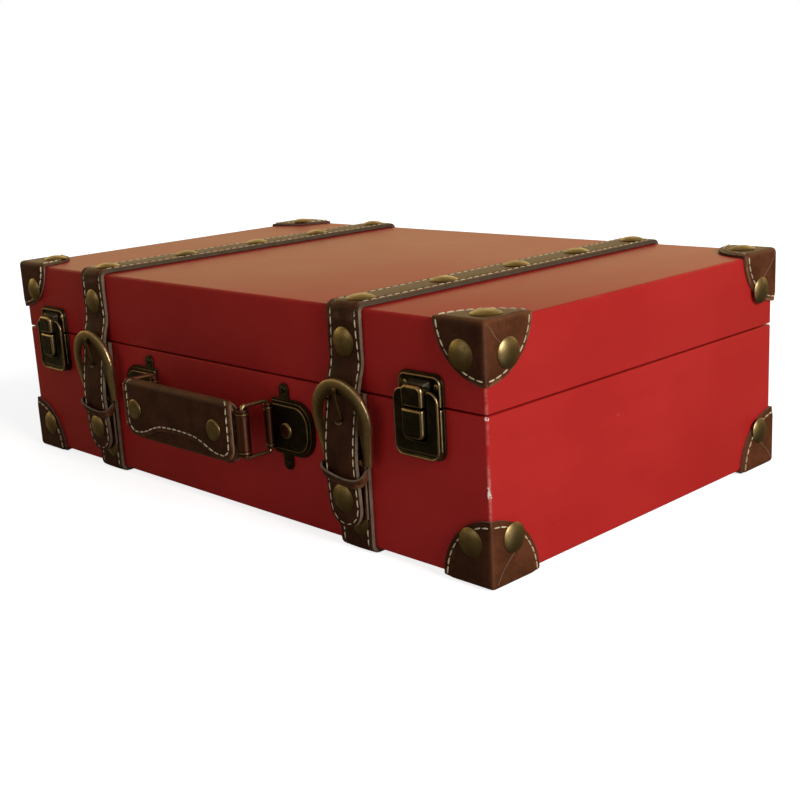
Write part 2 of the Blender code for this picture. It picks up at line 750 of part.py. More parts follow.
def base_strap(x):
    """Strap under the base, from the seam at the front to the seam at the back."""
    seam = UNDERSIDE + SEAM - CLEAR / 2
    outline = wrap_outline(seam, seam, UNDERSIDE, -1)
    return bevelled(slab([outline], STRAP_WIDTH, SIDEWAYS, (x, 0, 0)), STRAP_ROUND, segments=1)


def front_stud(x, height, radius):
    """Separate dome stud on the outer face of a strap on the front."""
    reach = CLEAR + STRAP_THICK + CLEAR + STUD_SINK
    return dome(place(x, reach, height), (0, -1, 0), radius, STUD_HEIGHT - STUD_SINK)


def strap_tip(x):
    """Loose end of the lid strap: it bows out over the buckle's bar and ends in a round tip."""
    front = [(FRONT - reach, UNDERSIDE + height) for reach, height in TIP_PLACES]
    back = [(depth + TIP_THICK, height) for depth, height in reversed(front)]
    tip = slab([front + back], TIP_WIDTH, SIDEWAYS, (x, 0, 0))
    half = TIP_WIDTH / 2
    low = TIP_PLACES[-1][1]
    face = arc((0, low + half), half, pi, TURN, 2 * ARC_STEPS)
    face += [(half, FOLD_HEIGHT + OVERRUN), (-half, FOLD_HEIGHT + OVERRUN)]
    depth = TIP_REACH + OVERRUN
    tip = combine(tip, front_slab(x, [face], -OVERRUN, depth + OVERRUN), "INTERSECT")
    slot_low, slot_high = BAR_HEIGHT + TIP_SLOT_LOW, BAR_HEIGHT + TIP_SLOT_HIGH
    slot = front_block(x, TIP_SLOT_WIDTH / 2, 0, depth, slot_low, slot_high)
    start, end = shank_ends(x)
    return cut(bevelled(tip, STRAP_ROUND, segments=1), slot, rod(start, end, SHANK_RADIUS + CLEAR))


def tip_reach(height):
    """Outward distance of the strap tip's front surface at a height."""
    for (near, high), (far, low) in zip(TIP_PLACES, TIP_PLACES[1:]):
        if low <= height <= high:
            return far + (near - far) * (height - low) / (high - low)
    return TIP_PLACES[-1][0]


def tip_stud_way():
    """Outward direction of the strap tip's front surface at its stud."""
    step = STUD_RADIUS
    rise = tip_reach(TIP_STUD_HEIGHT + step) - tip_reach(TIP_STUD_HEIGHT - step)
    return Vector((0, -1, -rise / (2 * step))).normalized()


def shank_ends(x):
    """Line of the tip stud's shank, past both faces of the tip and the chape."""
    point = place(x, tip_reach(TIP_STUD_HEIGHT), TIP_STUD_HEIGHT)
    way = tip_stud_way()
    return point - way * (TIP_REACH + OVERRUN), point + way * OVERRUN


def tip_stud(x):
    """Snap stud on the strap tip, with a shank through the tip into the chape."""
    way = tip_stud_way()
    face = place(x, tip_reach(TIP_STUD_HEIGHT), TIP_STUD_HEIGHT)
    seat = face + way * (CLEAR + STUD_SINK)
    length = tip_reach(TIP_STUD_HEIGHT) - chape_back()
    head = dome(seat, way, STUD_RADIUS, STUD_HEIGHT - STUD_SINK)
    return joined(head, rod(seat, face - way * (length - CLEAR), SHANK_RADIUS))


def chape_back():
    """Outward distance of the chape's rear face."""
    return BAR_REACH - eye_radius() + BITE / 4


def eye_radius():
    """Outer radius of the loops round the buckle's bar."""
    return BAR_RADIUS + CLEAR + EYE_WALL


def chape(x):
    """Leather tab behind the strap tip, with two loops round the buckle's bar."""
    half = STRAP_WIDTH / 2
    top = BAR_HEIGHT - BAR_RADIUS - CLEAR - BITE / 4
    tab = front_block(x, half, chape_back(), chape_back() + CHAPE_THICK, BAR_HEIGHT - CHAPE_LENGTH, top)
    for start, end in ((-CHAPE_LOOP_OUTER, -CHAPE_LOOP_INNER), (CHAPE_LOOP_INNER, CHAPE_LOOP_OUTER)):
        tab = joined(tab, front_rod(x, start, end, BAR_REACH, BAR_HEIGHT, eye_radius()))
    bore = front_rod(x, -half - OVERRUN, half + OVERRUN, BAR_REACH, BAR_HEIGHT, BAR_RADIUS + CLEAR)
    gap = front_block(
        x, CHAPE_LOOP_INNER, 0, BAR_REACH + OVERRUN, BAR_HEIGHT - eye_radius() - CLEAR, BAR_HEIGHT + OVERRUN
    )
    start, end = shank_ends(x)
    return cut(tab, bore, gap, rod(start, end, SHANK_RADIUS + CLEAR))


def keeper(x):
    """Leather loop round the strap tip, whose feet turn in beside the chape."""
    near, far = chape_back(), TIP_REACH + CLEAR + KEEPER_THICK
    outer = round_outline(x - KEEPER_HALF, x + KEEPER_HALF, FRONT - far, FRONT - near, KEEPER_CORNER)
    inner = round_outline(
        x - KEEPER_HALF + KEEPER_THICK,
        x + KEEPER_HALF - KEEPER_THICK,
        FRONT - far + KEEPER_THICK,
        FRONT - near - KEEPER_THICK,
        KEEPER_CORNER - KEEPER_THICK,
    )
    middle = UNDERSIDE + KEEPER_LOW + KEEPER_HEIGHT / 2
    loop = slab([outer, inner], KEEPER_HEIGHT, FLAT, (0, 0, middle))
    opening = front_block(
        x, STRAP_WIDTH / 2 + CLEAR, 0, near + KEEPER_THICK + CLEAR,
        KEEPER_LOW - OVERRUN, KEEPER_LOW + KEEPER_HEIGHT + OVERRUN,
    )
    return bevelled(cut(loop, opening), STRAP_ROUND, segments=1)


def buckle_tilt():
    """Angle by which the buckle leans out from its bar to its top."""
    rise = Vector((0, BAR_REACH - BUCKLE_TOP_REACH, BUCKLE_RISE))
    return rise.angle(Vector((0, 0, 1)))


def buckle_frame(x):
    """Horseshoe buckle frame: a flat arch, leaning out to its top, with a round bar between its feet."""
    length = BUCKLE_RISE / cos(buckle_tilt())
    centre = length - BUCKLE_HALF_WIDTH
    inner = BUCKLE_FOOT_HALF - BUCKLE_LEG
    inner_centre = length - BUCKLE_BAND - inner
    points = [(BUCKLE_FOOT_HALF, -BUCKLE_FOOT_DROP)]
    points += arc((0, centre), BUCKLE_HALF_WIDTH, -BUCKLE_LEAN, pi + BUCKLE_LEAN, 4 * ARC_STEPS)
    points += [(-BUCKLE_FOOT_HALF, -BUCKLE_FOOT_DROP), (-inner, -BUCKLE_FOOT_DROP)]
    points += arc((0, inner_centre), inner, pi, 0, 2 * ARC_STEPS)
    points.append((inner, -BUCKLE_FOOT_DROP))
    tilt = buckle_tilt()
    stand = Matrix(
        ((1, 0, 0, 0), (0, -sin(tilt), -cos(tilt), 0), (0, cos(tilt), -sin(tilt), 0), (0, 0, 0, 1))
    )
    arch = slab([points], BUCKLE_THICK, stand, place(x, BAR_REACH, BAR_HEIGHT))
    bite = inner + BITE
    return joined(
        bevelled(arch, BUCKLE_ROUND), front_rod(x, -bite, bite, BAR_REACH, BAR_HEIGHT, BAR_RADIUS)
    )


def buckle_prong(x):
    """Prong: an eye round the bar and a wire that comes out through the strap tip to the arch."""
    places = [place(x, BAR_REACH, BAR_HEIGHT + BAR_RADIUS + CLEAR + BITE / 4)]
    for up, out in PRONG_SHARES:
        reach = BAR_REACH + out * (PRONG_REACH - BAR_REACH)
        places.append(place(x, reach, BAR_HEIGHT + up * BUCKLE_RISE))
    half = PRONG_EYE_WIDTH / 2
    eye = front_rod(x, -half, half, BAR_REACH, BAR_HEIGHT, eye_radius())
    bore = front_rod(x, -2 * half, 2 * half, BAR_REACH, BAR_HEIGHT, BAR_RADIUS + CLEAR)
    return cut(joined(wire(places, PRONG_RADIUS), eye), bore)


def add_straps(trunk):
    """Two straps: the lid's part, the base's part, and the tab that folds up with its buckle."""
    lid_axis = hinge_axis(0)
    for side, x in (("right", STRAP_X), ("left", -STRAP_X)):
        fold = place(x, 2 * CLEAR + STRAP_THICK, FOLD_HEIGHT)
        bar = place(x, BAR_REACH, BAR_HEIGHT)
        trunk.add(lid_strap(x), f"lid_strap_{side}", "brown_leather", lid_axis)
        stud = front_stud(x, TOP - LID_STUD_DROP, STUD_RADIUS)
        trunk.add(stud, f"lid_strap_stud_{side}", "antique_brass", lid_axis)
        trunk.add(base_strap(x), f"base_strap_{side}", "brown_leather")
        low_stud = front_stud(x, LOW_STUD_HEIGHT, LOW_STUD_RADIUS)
        trunk.add(low_stud, f"base_strap_stud_{side}", "antique_brass")
        trunk.add(strap_tip(x), f"strap_tip_{side}", "brown_leather", fold)
        trunk.add(tip_stud(x), f"tip_stud_{side}", "antique_brass", fold)
        trunk.add(chape(x), f"chape_{side}", "brown_leather", fold)
        trunk.add(keeper(x), f"keeper_{side}", "brown_leather", fold)
        trunk.add(buckle_frame(x), f"buckle_frame_{side}", "antique_brass", bar)
        trunk.add(buckle_prong(x), f"buckle_prong_{side}", "antique_brass", bar)


def end_outline(inner, outer, low, high, corner):
    """D shape with its straight side inward and round corners outward, for the right side."""
    points = [(inner, low)]
    points += arc((outer - corner, low + corner), corner, -pi / 2, 0)
    points += arc((outer - corner, high - corner), corner, 0, pi / 2)
    points.append((inner, high))
    return points


def handle_plate():
    """Right handle plate: a D plate crossed by a strip with an ear at each end."""
    low, high = HANDLE_HEIGHT - PLATE_HALF, HANDLE_HEIGHT + PLATE_HALF
    outline = end_outline(EYE_X, PLATE_OUTER, low, high, PLATE_CORNER)
    half = EAR_WIDTH / 2
    middle = EYE_X + EAR_SETBACK
    low, high = HANDLE_HEIGHT - EAR_HALF, HANDLE_HEIGHT + EAR_HALF
    ears = round_outline(middle - half, middle + half, low, high, half - CLEAR)
    return joined(
        front_slab(0, [outline], CLEAR, HANDLE_PLATE_THICK),
        front_slab(0, [ears], CLEAR, HANDLE_PLATE_THICK),
    )


def handle_cap():
    """Right handle cap: a raised D with its rivet and the eye that holds the link."""
    back = 2 * CLEAR + HANDLE_PLATE_THICK
    half = PLATE_HALF - CAP_MARGIN
    low, high = HANDLE_HEIGHT - half, HANDLE_HEIGHT + half
    outline = end_outline(EYE_X, PLATE_OUTER - CAP_MARGIN, low, high, CAP_CORNER)
    cap = bevelled(front_slab(0, [outline], back, CAP_THICK), CAP_ROUND)
    low, high = link_gap()
    eye = rod(place(EYE_X, EYE_REACH, low), place(EYE_X, EYE_REACH, high), EYE_RADIUS)
    seat = place(EYE_X + RIVET_SETBACK, back + CAP_THICK, HANDLE_HEIGHT)
    rivet = dome(seat, (0, -1, 0), RIVET_RADIUS, RIVET_HEIGHT)
    start, end = place(EYE_X, EYE_REACH, low - OVERRUN), place(EYE_X, EYE_REACH, high + OVERRUN)
    return cut(joined(cap, eye, rivet), rod(start, end, LINK_RADIUS + CLEAR))


def link_gap():
    """Heights between which a tube fits inside a link."""
    half = LINK_HALF - LINK_RADIUS - CLEAR
    return HANDLE_HEIGHT - half, HANDLE_HEIGHT + half


def handle_link(x):
    """Rectangular wire link that stands out from the plate's eye to the grip's tube."""
    near, far = EYE_REACH, EYE_REACH + LINK_LENGTH
    low, high = HANDLE_HEIGHT - LINK_HALF, HANDLE_HEIGHT + LINK_HALF
    outline = round_outline(near, far, low, high, LINK_CORNER)
    return wire([place(x, reach, height) for reach, height in outline], LINK_RADIUS, closed=True)


def grip_tube(x):
    """Bronze tube at the grip's end, round the link's outer leg."""
    reach = EYE_REACH + LINK_LENGTH
    low, high = link_gap()
    tube = rod(place(x, reach, low), place(x, reach, high), GRIP_TUBE_RADIUS)
    start, end = place(x, reach, low - OVERRUN), place(x, reach, high + OVERRUN)
    return cut(tube, rod(start, end, LINK_RADIUS + CLEAR))


def grip_front():
    """Front leather of the grip: straight above, lobed at its lower ends and arched between them."""
    low = HANDLE_HEIGHT - GRIP_LOBE_DROP
    lobe = (GRIP_HALF - GRIP_CORNER, low + GRIP_CORNER)
    shoulder = (GRIP_HALF - GRIP_CORNER, HANDLE_HEIGHT + GRIP_RISE - GRIP_CORNER)
    rise = GRIP_LOBE_DROP - GRIP_ARCH_DROP
    edge = [(lobe[0] * along, low + rise * up) for along, up in GRIP_EDGE_SHARES]
    right = edge + arc(lobe, GRIP_CORNER, -pi / 2, 0) + arc(shoulder, GRIP_CORNER, 0, pi / 2)
    left = [(-x, height) for x, height in reversed(right[1:])]
    leather = front_slab(0, [right + left], GRIP_REACH - GRIP_FRONT_THICK, GRIP_FRONT_THICK)
    return bevelled(leather, GRIP_ROUND)


def grip_back():
    """Rear leather of the grip, padded, that reaches between the end tubes."""
    half = EYE_X - GRIP_TUBE_RADIUS - CLEAR
    low, high = HANDLE_HEIGHT - GRIP_BACK_DROP, HANDLE_HEIGHT + GRIP_BACK_RISE
    outline = round_outline(-half, half, low, high, GRIP_CORNER)
    far = GRIP_REACH - GRIP_FRONT_THICK - CLEAR
    return bevelled(front_slab(0, [outline], far - GRIP_BACK_THICK, GRIP_BACK_THICK), GRIP_BACK_ROUND)


def add_handle(trunk):
    """Handle: plates and caps on the base, wire links, and the grip with its tubes and studs."""
    reach = EYE_REACH + LINK_LENGTH
    grip_axis = place(-EYE_X, reach, HANDLE_HEIGHT)
    plate, cap = handle_plate(), handle_cap()
    for side, way in (("right", 1), ("left", -1)):
        eye = place(way * EYE_X, EYE_REACH, HANDLE_HEIGHT)
        trunk.add(mirrored(plate, x=way < 0), f"handle_plate_{side}", "antique_brass")
        trunk.add(mirrored(cap, x=way < 0), f"handle_cap_{side}", "antique_brass")
        trunk.add(handle_link(way * EYE_X), f"handle_link_{side}", "bronze", eye)
        trunk.add(grip_tube(way * EYE_X), f"grip_tube_{side}", "bronze", grip_axis)
        seat = place(way * (EYE_X - GRIP_STUD_SETBACK), GRIP_REACH + CLEAR + STUD_SINK, HANDLE_HEIGHT)
        stud = dome(seat, (0, -1, 0), GRIP_STUD_RADIUS, STUD_HEIGHT - STUD_SINK)
        trunk.add(stud, f"grip_stud_{side}", "antique_brass", grip_axis)
    trunk.add(grip_front(), "grip_front", "brown_leather", grip_axis)
    trunk.add(grip_back(), "grip_back", "brown_leather", grip_axis)
    for pattern in (plate, cap):
        bpy.data.objects.remove(pattern, do_unlink=True)


def main():
    """Build the whole trunk."""
    clear_scene()
    trunk = Trunk(make_materials())
    add_box(trunk)
    add_corners(trunk)
    add_hinges(trunk)
    add_latches(trunk)
    add_straps(trunk)
    add_handle(trunk)


main()
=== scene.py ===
"""Looks of a small red travelling trunk: its covering, leather, stitching, brass and lining."""

import json
import logging
import math
from dataclasses import dataclass, field
from enum import Enum
from typing import Any, Callable, Optional, Sequence, Union

import bmesh
import bpy
from mathutils import Matrix, Vector

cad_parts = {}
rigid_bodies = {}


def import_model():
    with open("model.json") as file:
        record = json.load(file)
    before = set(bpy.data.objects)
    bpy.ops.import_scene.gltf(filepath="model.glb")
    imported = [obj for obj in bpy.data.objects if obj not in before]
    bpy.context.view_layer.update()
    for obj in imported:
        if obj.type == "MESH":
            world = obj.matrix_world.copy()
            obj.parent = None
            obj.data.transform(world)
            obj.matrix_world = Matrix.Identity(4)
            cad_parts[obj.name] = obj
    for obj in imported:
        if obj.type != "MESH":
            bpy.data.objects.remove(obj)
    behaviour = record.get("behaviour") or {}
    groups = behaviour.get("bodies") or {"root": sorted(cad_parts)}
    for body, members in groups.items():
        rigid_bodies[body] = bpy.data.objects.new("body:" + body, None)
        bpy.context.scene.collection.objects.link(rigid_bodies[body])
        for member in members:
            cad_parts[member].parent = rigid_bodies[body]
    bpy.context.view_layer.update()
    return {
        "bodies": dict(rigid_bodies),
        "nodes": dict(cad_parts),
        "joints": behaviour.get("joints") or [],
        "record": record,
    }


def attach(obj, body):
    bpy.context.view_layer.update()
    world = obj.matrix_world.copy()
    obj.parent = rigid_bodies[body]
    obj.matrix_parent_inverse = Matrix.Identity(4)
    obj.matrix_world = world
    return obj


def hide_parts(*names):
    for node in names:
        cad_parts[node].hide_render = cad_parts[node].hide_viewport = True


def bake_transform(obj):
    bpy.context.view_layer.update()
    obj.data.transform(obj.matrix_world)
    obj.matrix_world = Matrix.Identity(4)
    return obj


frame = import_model()
LOG = logging.getLogger("trunk")

Point = tuple[float, float]
Triple = tuple[float, float, float]
Colour = Triple
Level = tuple[float, float, int]
Levels = tuple[Level, ...]
Number = Union[float, "Wire"]
Mesh = bmesh.types.BMesh
Face = bmesh.types.BMFace
X_AXIS = Vector((1, 0, 0))
Z_AXIS = Vector((0, 0, 1))
OUTWARD = Vector((0, -1, 0))
WHITE = (1.0, 1.0, 1.0)
HALF_TURN = math.pi
FULL_TURN = 2 * math.pi
UPRIGHT = Matrix(((1, 0, 0, 0), (0, 0, -1, 0), (0, 1, 0, 0), (0, 0, 0, 1)))
MERGE = 1e-6
BOX_HALF = 0.215
FRONT = -0.1152
LATCH_SHIFT = -0.0026
BACK = 0.1414
UNDERSIDE = 0.0031
SEAM_HEIGHT = 0.0846
BOX_HEIGHT = 0.1284
CLEAR = 0.0003
STRAP_X = 0.121
LATCH_X = 0.176
STRIDE = 0.02
SIDES = (("right", 1), ("left", -1))


def math_method(operation: str, flipped: bool = False) -> Callable[..., "Wire"]:
    """Method of a wire that adds one Math node.

    Args:
        operation: the node's operation.
        flipped: whether the wire is the second value.

    Returns:
        The method, which takes the other value or wire where the operation has one.
    """

    def method(wire: "Wire", other: Number = 0.0) -> "Wire":
        """Add the node to the wire's tree."""
        values = {0: other, 1: wire} if flipped else {0: wire, 1: other}
        return wire.tree.node("ShaderNodeMath", {"operation": operation}, values)

    return method


class Wire:
    """An output socket whose arithmetic adds Math nodes to its tree."""

    __add__ = math_method("ADD")
    __sub__ = math_method("SUBTRACT")
    __rsub__ = math_method("SUBTRACT", flipped=True)
    __mul__ = math_method("MULTIPLY")
    __truediv__ = math_method("DIVIDE")
    __pow__ = math_method("POWER")
    __abs__ = math_method("ABSOLUTE")
    larger = math_method("MAXIMUM")
    smaller = math_method("MINIMUM")
    wave = math_method("SINE")

    def __init__(self, tree: "Tree", socket: bpy.types.NodeSocket) -> None:
        """Wrap a socket of a node tree under construction."""
        self.tree = tree
        self.socket = socket

    def ramp(self, low: float, high: float) -> "Wire":
        """Smooth step from 0 at low to 1 at high; low may be the greater."""
        values = {"Value": self, "From Min": low, "From Max": high}
        settings = {"interpolation_type": "SMOOTHSTEP", "clamp": True}
        return self.tree.node("ShaderNodeMapRange", settings, values)


class Tree:
    """Adds nodes to a node tree."""

    def __init__(self, tree: bpy.types.NodeTree) -> None:
        """Work on a node tree."""
        self.tree = tree

    def node(
        self,
        kind: str,
        settings: dict[str, Any],
        values: dict[Union[int, str], Any],
        output: Union[int, str] = 0,
    ) -> Wire:
        """Add a node.

        Args:
            kind: the node's type.
            settings: properties set before the sockets.
            values: numbers, colours or wires for its input sockets.
            output: which output to return.

        Returns:
            The chosen output.
        """
        made = self.tree.nodes.new(kind)
        for key, value in settings.items():
            setattr(made, key, value)
        for key, value in values.items():
            self.feed(made.inputs[key], value)
        return Wire(self, made.outputs[output])

    def feed(self, socket: bpy.types.NodeSocket, value: Any) -> None:
        """Link a wire to an input, or set its value."""
        if isinstance(value, Wire):
            self.tree.links.new(value.socket, socket)
        elif isinstance(value, tuple) and len(value) == 3 and socket.type == "RGBA":
            socket.default_value = (*value, 1.0)
        else:
            socket.default_value = value

    def seen(self) -> Wire:
        """1 for what the camera, a reflection or a transmission looks at, and 0 for light."""
        camera, glossy, passed = (
            self.node("ShaderNodeLightPath", {}, {}, ray)
            for ray in ("Is Camera Ray", "Is Glossy Ray", "Is Transmission Ray")
        )
        return camera.larger(glossy).larger(passed)


class Paint(Tree):
    """Builds one Principled material."""

    def __init__(self, name: str) -> None:
        """Start a material with its shader and Object coordinates."""
        self.material = bpy.data.materials.new(name)
        self.material.use_nodes = True
        super().__init__(self.material.node_tree)
        self.shader = self.tree.nodes["Principled BSDF"]
        self.place = self.node("ShaderNodeTexCoord", {}, {}, "Object")

    def axes(self, source: Optional[Wire] = None) -> tuple[Wire, Wire, Wire]:
        """The three parts of a vector, or of the Object coordinates."""
        values = {0: source or self.place}
        return tuple(self.node("ShaderNodeSeparateXYZ", {}, values, axis) for axis in ("X", "Y", "Z"))

    def noise(
        self, scale: float, detail: float = 4.0, rough: float = 0.55, place: Optional[Wire] = None
    ) -> Wire:
        """Noise between 0 and 1.

        Args:
            scale: features per metre.
            detail: octaves.
            rough: how strong the finer octaves are.
            place: coordinates, or none for Object coordinates.

        Returns:
            The noise value.
        """
        values = {"Vector": place or self.place, "Scale": scale, "Detail": detail, "Roughness": rough}
        return self.node("ShaderNodeTexNoise", {}, values, "Fac")

    def cells(self, scale: float, feature: str = "F1") -> Wire:
        """Distance in a Voronoi pattern."""
        values = {"Vector": self.place, "Scale": scale}
        return self.node("ShaderNodeTexVoronoi", {"feature": feature}, values, "Distance")

    def stretch(self, scale: Triple) -> Wire:
        """Object coordinates stretched along the axes."""
        return self.node("ShaderNodeMapping", {}, {"Vector": self.place, "Scale": scale})

    def blend(self, share: Number, first: Any, second: Any) -> Wire:
        """Mix two colours: the first at 0, the second at 1."""
        settings = {"data_type": "RGBA", "clamp_factor": True}
        return self.node("ShaderNodeMix", settings, {0: share, 6: first, 7: second}, 2)

    def bump(self, height: Wire, distance: float, strength: float, normal: Optional[Wire] = None) -> Wire:
        """Normal that a height gives, on top of another one."""
        values = {"Height": height, "Distance": distance, "Strength": strength}
        if normal:
            values["Normal"] = normal
        return self.node("ShaderNodeBump", {}, values)

    def pointed(self) -> Wire:
        """How far an edge stands out, about a half where the surface is flat."""
        return self.node("ShaderNodeNewGeometry", {}, {}, "Pointiness")

    def turned(self) -> tuple[Wire, Wire, Wire]:
        """The three parts of the surface's own normal in Object coordinates."""
        return self.axes(self.node("ShaderNodeTexCoord", {}, {}, "Normal"))

    def done(self, **values: Any) -> bpy.types.Material:
        """Feed the shader's sockets, named with underscores for spaces, and hand back the material."""
        for key, value in values.items():
            self.feed(self.shader.inputs[key.replace("_", " ")], value)
        return self.material


@dataclass(frozen=True)
class BoxEdges:
    """Edges of the box, or of a box round its corner caps, that wear follows."""

    half_width: float = 0.215
    half_depth: float = 0.1283
    middle: float = 0.0131
    underside: float = 0.0031
    top: float = 0.1315

    def distances(self, paint: Paint) -> tuple[Wire, Wire]:
        """Distances from the box's edges.

        Args:
            paint: the material under construction.

        Returns:
            The distance from the nearest edge and from the nearest upright edge.
        """
        x, y, z = paint.axes()
        side = self.half_width - abs(x)
        face = self.half_depth - abs(y - self.middle)
        level = (z - self.underside).smaller(self.top - z)
        near, far = side.smaller(face), side.larger(face)
        return near.larger(far.smaller(level)), far


@dataclass(frozen=True)
class Covering:
    """Red leatherette over board, with fine grain, rubbed edges and a few chips."""

    name: str = "red_covering"
    red: Colour = (0.485, 0.0235, 0.0205)
    deep: Colour = (0.435, 0.0185, 0.0165)
    rubbed: Colour = (0.66, 0.24, 0.19)
    board: Colour = (0.86, 0.82, 0.74)
    box: BoxEdges = BoxEdges()
    chip_right: Point = (0.205, 0.210)
    chip_front: Point = (-0.105, -0.110)
    chip_levels: tuple[Triple, ...] = ((0.0497, 0.0036, 0.0026), (0.0867, 0.0013, 0.0008))

    def make(self) -> bpy.types.Material:
        """Build the material."""
        paint = Paint(self.name)
        any_edge, upright = self.box.distances(paint)
        cloud = paint.noise(9.0, 5.0, 0.6)
        streak = paint.noise(60.0, 3.0, 0.5, paint.stretch((1.0, 0.16, 1.0)))
        shade = (cloud * 0.7 + streak * 0.3).ramp(0.36, 0.66)
        colour = paint.blend(shade, self.deep, self.red)
        ragged = paint.noise(420.0, 4.0, 0.7)
        coarse = paint.noise(38.0, 2.0, 0.5)
        worn = any_edge.ramp(0.0014, 0.0003) * (ragged * 0.6 + coarse * 0.6).ramp(0.66, 0.82) * 0.6
        line = upright.ramp(0.0017, 0.0003) * (ragged * 0.5 + coarse * 0.5).ramp(0.40, 0.62)
        colour = paint.blend(worn.larger(line) * 0.85, colour, self.rubbed)
        chip = self.chips(paint, upright)
        colour = paint.blend(chip, colour, self.board)
        scuff = paint.noise(26.0, 6.0, 0.75, paint.stretch((1.0, 1.0, 3.4))).ramp(0.675, 0.74)
        dot = paint.cells(36.0).ramp(0.035, 0.018) * paint.noise(14.0, 2.0, 0.5).ramp(0.50, 0.56)
        colour = paint.blend((scuff * 0.20).larger(dot * 0.35), colour, self.rubbed)
        grain = paint.cells(900.0)
        pores = paint.noise(2600.0, 3.0, 0.6)
        relief = grain * 0.6 + pores * 0.4
        wavy = paint.bump(paint.noise(22.0, 2.0, 0.5), 0.0009, 0.35)
        normal = paint.bump(relief - chip, 0.00012, 0.30, wavy)
        colour = paint.blend(self.scuffs(paint) * 0.5, colour, self.rubbed)
        rough = cloud * 0.10 + pores * 0.06 + 0.31 + worn * 0.2 + chip * 0.3
        return paint.done(Base_Color=colour, Roughness=rough, Normal=normal, Specular_IOR_Level=0.10)

    def chips(self, paint: Paint, upright: Wire) -> Wire:
        """Chips that bare the board on the front right edge.

        Args:
            paint: the material under construction.
            upright: distance from the nearest upright edge.

        Returns:
            1 in a chip and 0 elsewhere.
        """
        x, y, z = paint.axes()
        corner = x.ramp(*self.chip_right) * y.ramp(*self.chip_front)
        low, high = (abs(z - level).ramp(wide, narrow) for level, wide, narrow in self.chip_levels)
        flake = paint.noise(520.0, 3.0, 0.7).ramp(0.50, 0.53)
        return upright.ramp(0.0017, 0.0011) * corner * low.larger(high) * flake

    def scuffs(self, paint: Paint) -> Wire:
        """Sparse faint specks and short scratches."""
        patch = paint.noise(14.0, 3.0, 0.6, paint.stretch((1.0, 1.0, 1.3))).ramp(0.60, 0.72)
        speck = paint.cells(260.0).ramp(0.16, 0.06) * paint.noise(60.0, 2.0, 0.5).ramp(0.50, 0.62)
        scratch = paint.noise(190.0, 3.0, 0.7, paint.stretch((0.35, 0.35, 3.2))).ramp(0.68, 0.74)
        return (patch * speck).larger(patch * scratch * 0.5)


@dataclass(frozen=True)
class Leather:
    """Brown strap leather with pores, creases and edges rubbed pale, and painted shade on the faces turned to
    the front.
    """

    name: str
    brown: Colour = (0.118, 0.038, 0.014)
    dark: Colour = (0.056, 0.018, 0.007)
    rubbed: Colour = (0.270, 0.120, 0.058)
    gloss: float = 0.40
    # Painted shade: share and near-black colour that darken the faces turned to the front.
    soil: float = 0.42
    soiled: Colour = (0.012, 0.004, 0.002)
    box: Optional[BoxEdges] = None

    def make(self) -> bpy.types.Material:
        """Build the material."""
        paint = Paint(self.name)
        cloud = paint.noise(70.0, 5.0, 0.62)
        fine = paint.noise(900.0, 4.0, 0.65)
        colour = paint.blend((cloud * 0.75 + fine * 0.25).ramp(0.34, 0.66), self.dark, self.brown)
        edges = paint.pointed().ramp(0.515, 0.565)
        scrape = paint.noise(240.0, 5.0, 0.75, paint.stretch((1.0, 1.0, 0.4))).ramp(0.62, 0.72)
        rub = (edges * paint.noise(180.0, 3.0, 0.6).ramp(0.35, 0.6)).larger(scrape * 0.35)
        if self.box:
            worn, _ = self.box.distances(paint)
            rub = rub.larger(worn.ramp(0.0022, 0.0004) * (scrape * 0.4 + 0.45))
        colour = paint.blend(rub * 0.7, colour, self.rubbed)
        # Painted shade: faces whose normal turns to the front (-Y in Object coordinates) are darkened towards
        # near-black, standing in for shade on the trunk's front.
        _, across, _ = paint.turned()
        colour = paint.blend(across.ramp(-0.55, -0.95) * self.soil, colour, self.soiled)
        crease = paint.cells(620.0, "DISTANCE_TO_EDGE").ramp(0.0, 0.16)
        pores = paint.noise(1700.0, 4.0, 0.7)
        normal = paint.bump(crease * 0.55 + pores * 0.45, 0.00018, 0.42)
        normal = paint.bump(cloud, 0.0006, 0.25, normal)
        rough = cloud * 0.16 + pores * 0.08 + (self.gloss - 0.08) + rub * 0.18
        return paint.done(Base_Color=colour, Roughness=rough, Normal=normal, Specular_IOR_Level=0.10)


@dataclass(frozen=True)
class CutEdge:
    """Raw cut side of the leather: greyish brown, fibrous and matt, darker towards the top of the lid."""

    name: str = "leather_cut_edge"
    pale: Colour = (0.250, 0.188, 0.130)
    dull: Colour = (0.145, 0.102, 0.068)
    # Colour and heights of the darkening towards the top of the lid.
    dressed: Colour = (0.048, 0.034, 0.018)
    dressed_levels: Point = (0.1290, 0.1335)

    def make(self) -> bpy.types.Material:
        """Build the material."""
        paint = Paint(self.name)
        fibre = paint.noise(1500.0, 4.0, 0.7)
        cloud = paint.noise(120.0, 4.0, 0.6)
        colour = paint.blend((fibre * 0.4 + cloud * 0.6).ramp(0.35, 0.65), self.dull, self.pale)
        # Darker towards the top of the lid, by height alone.
        _, _, height = paint.axes()
        colour = paint.blend(height.ramp(*self.dressed_levels) * 0.75, colour, self.dressed)
        normal = paint.bump(fibre, 0.0002, 0.5)
        rough = cloud * 0.12 + 0.68
        return paint.done(Base_Color=colour, Roughness=rough, Normal=normal, Specular_IOR_Level=0.12)


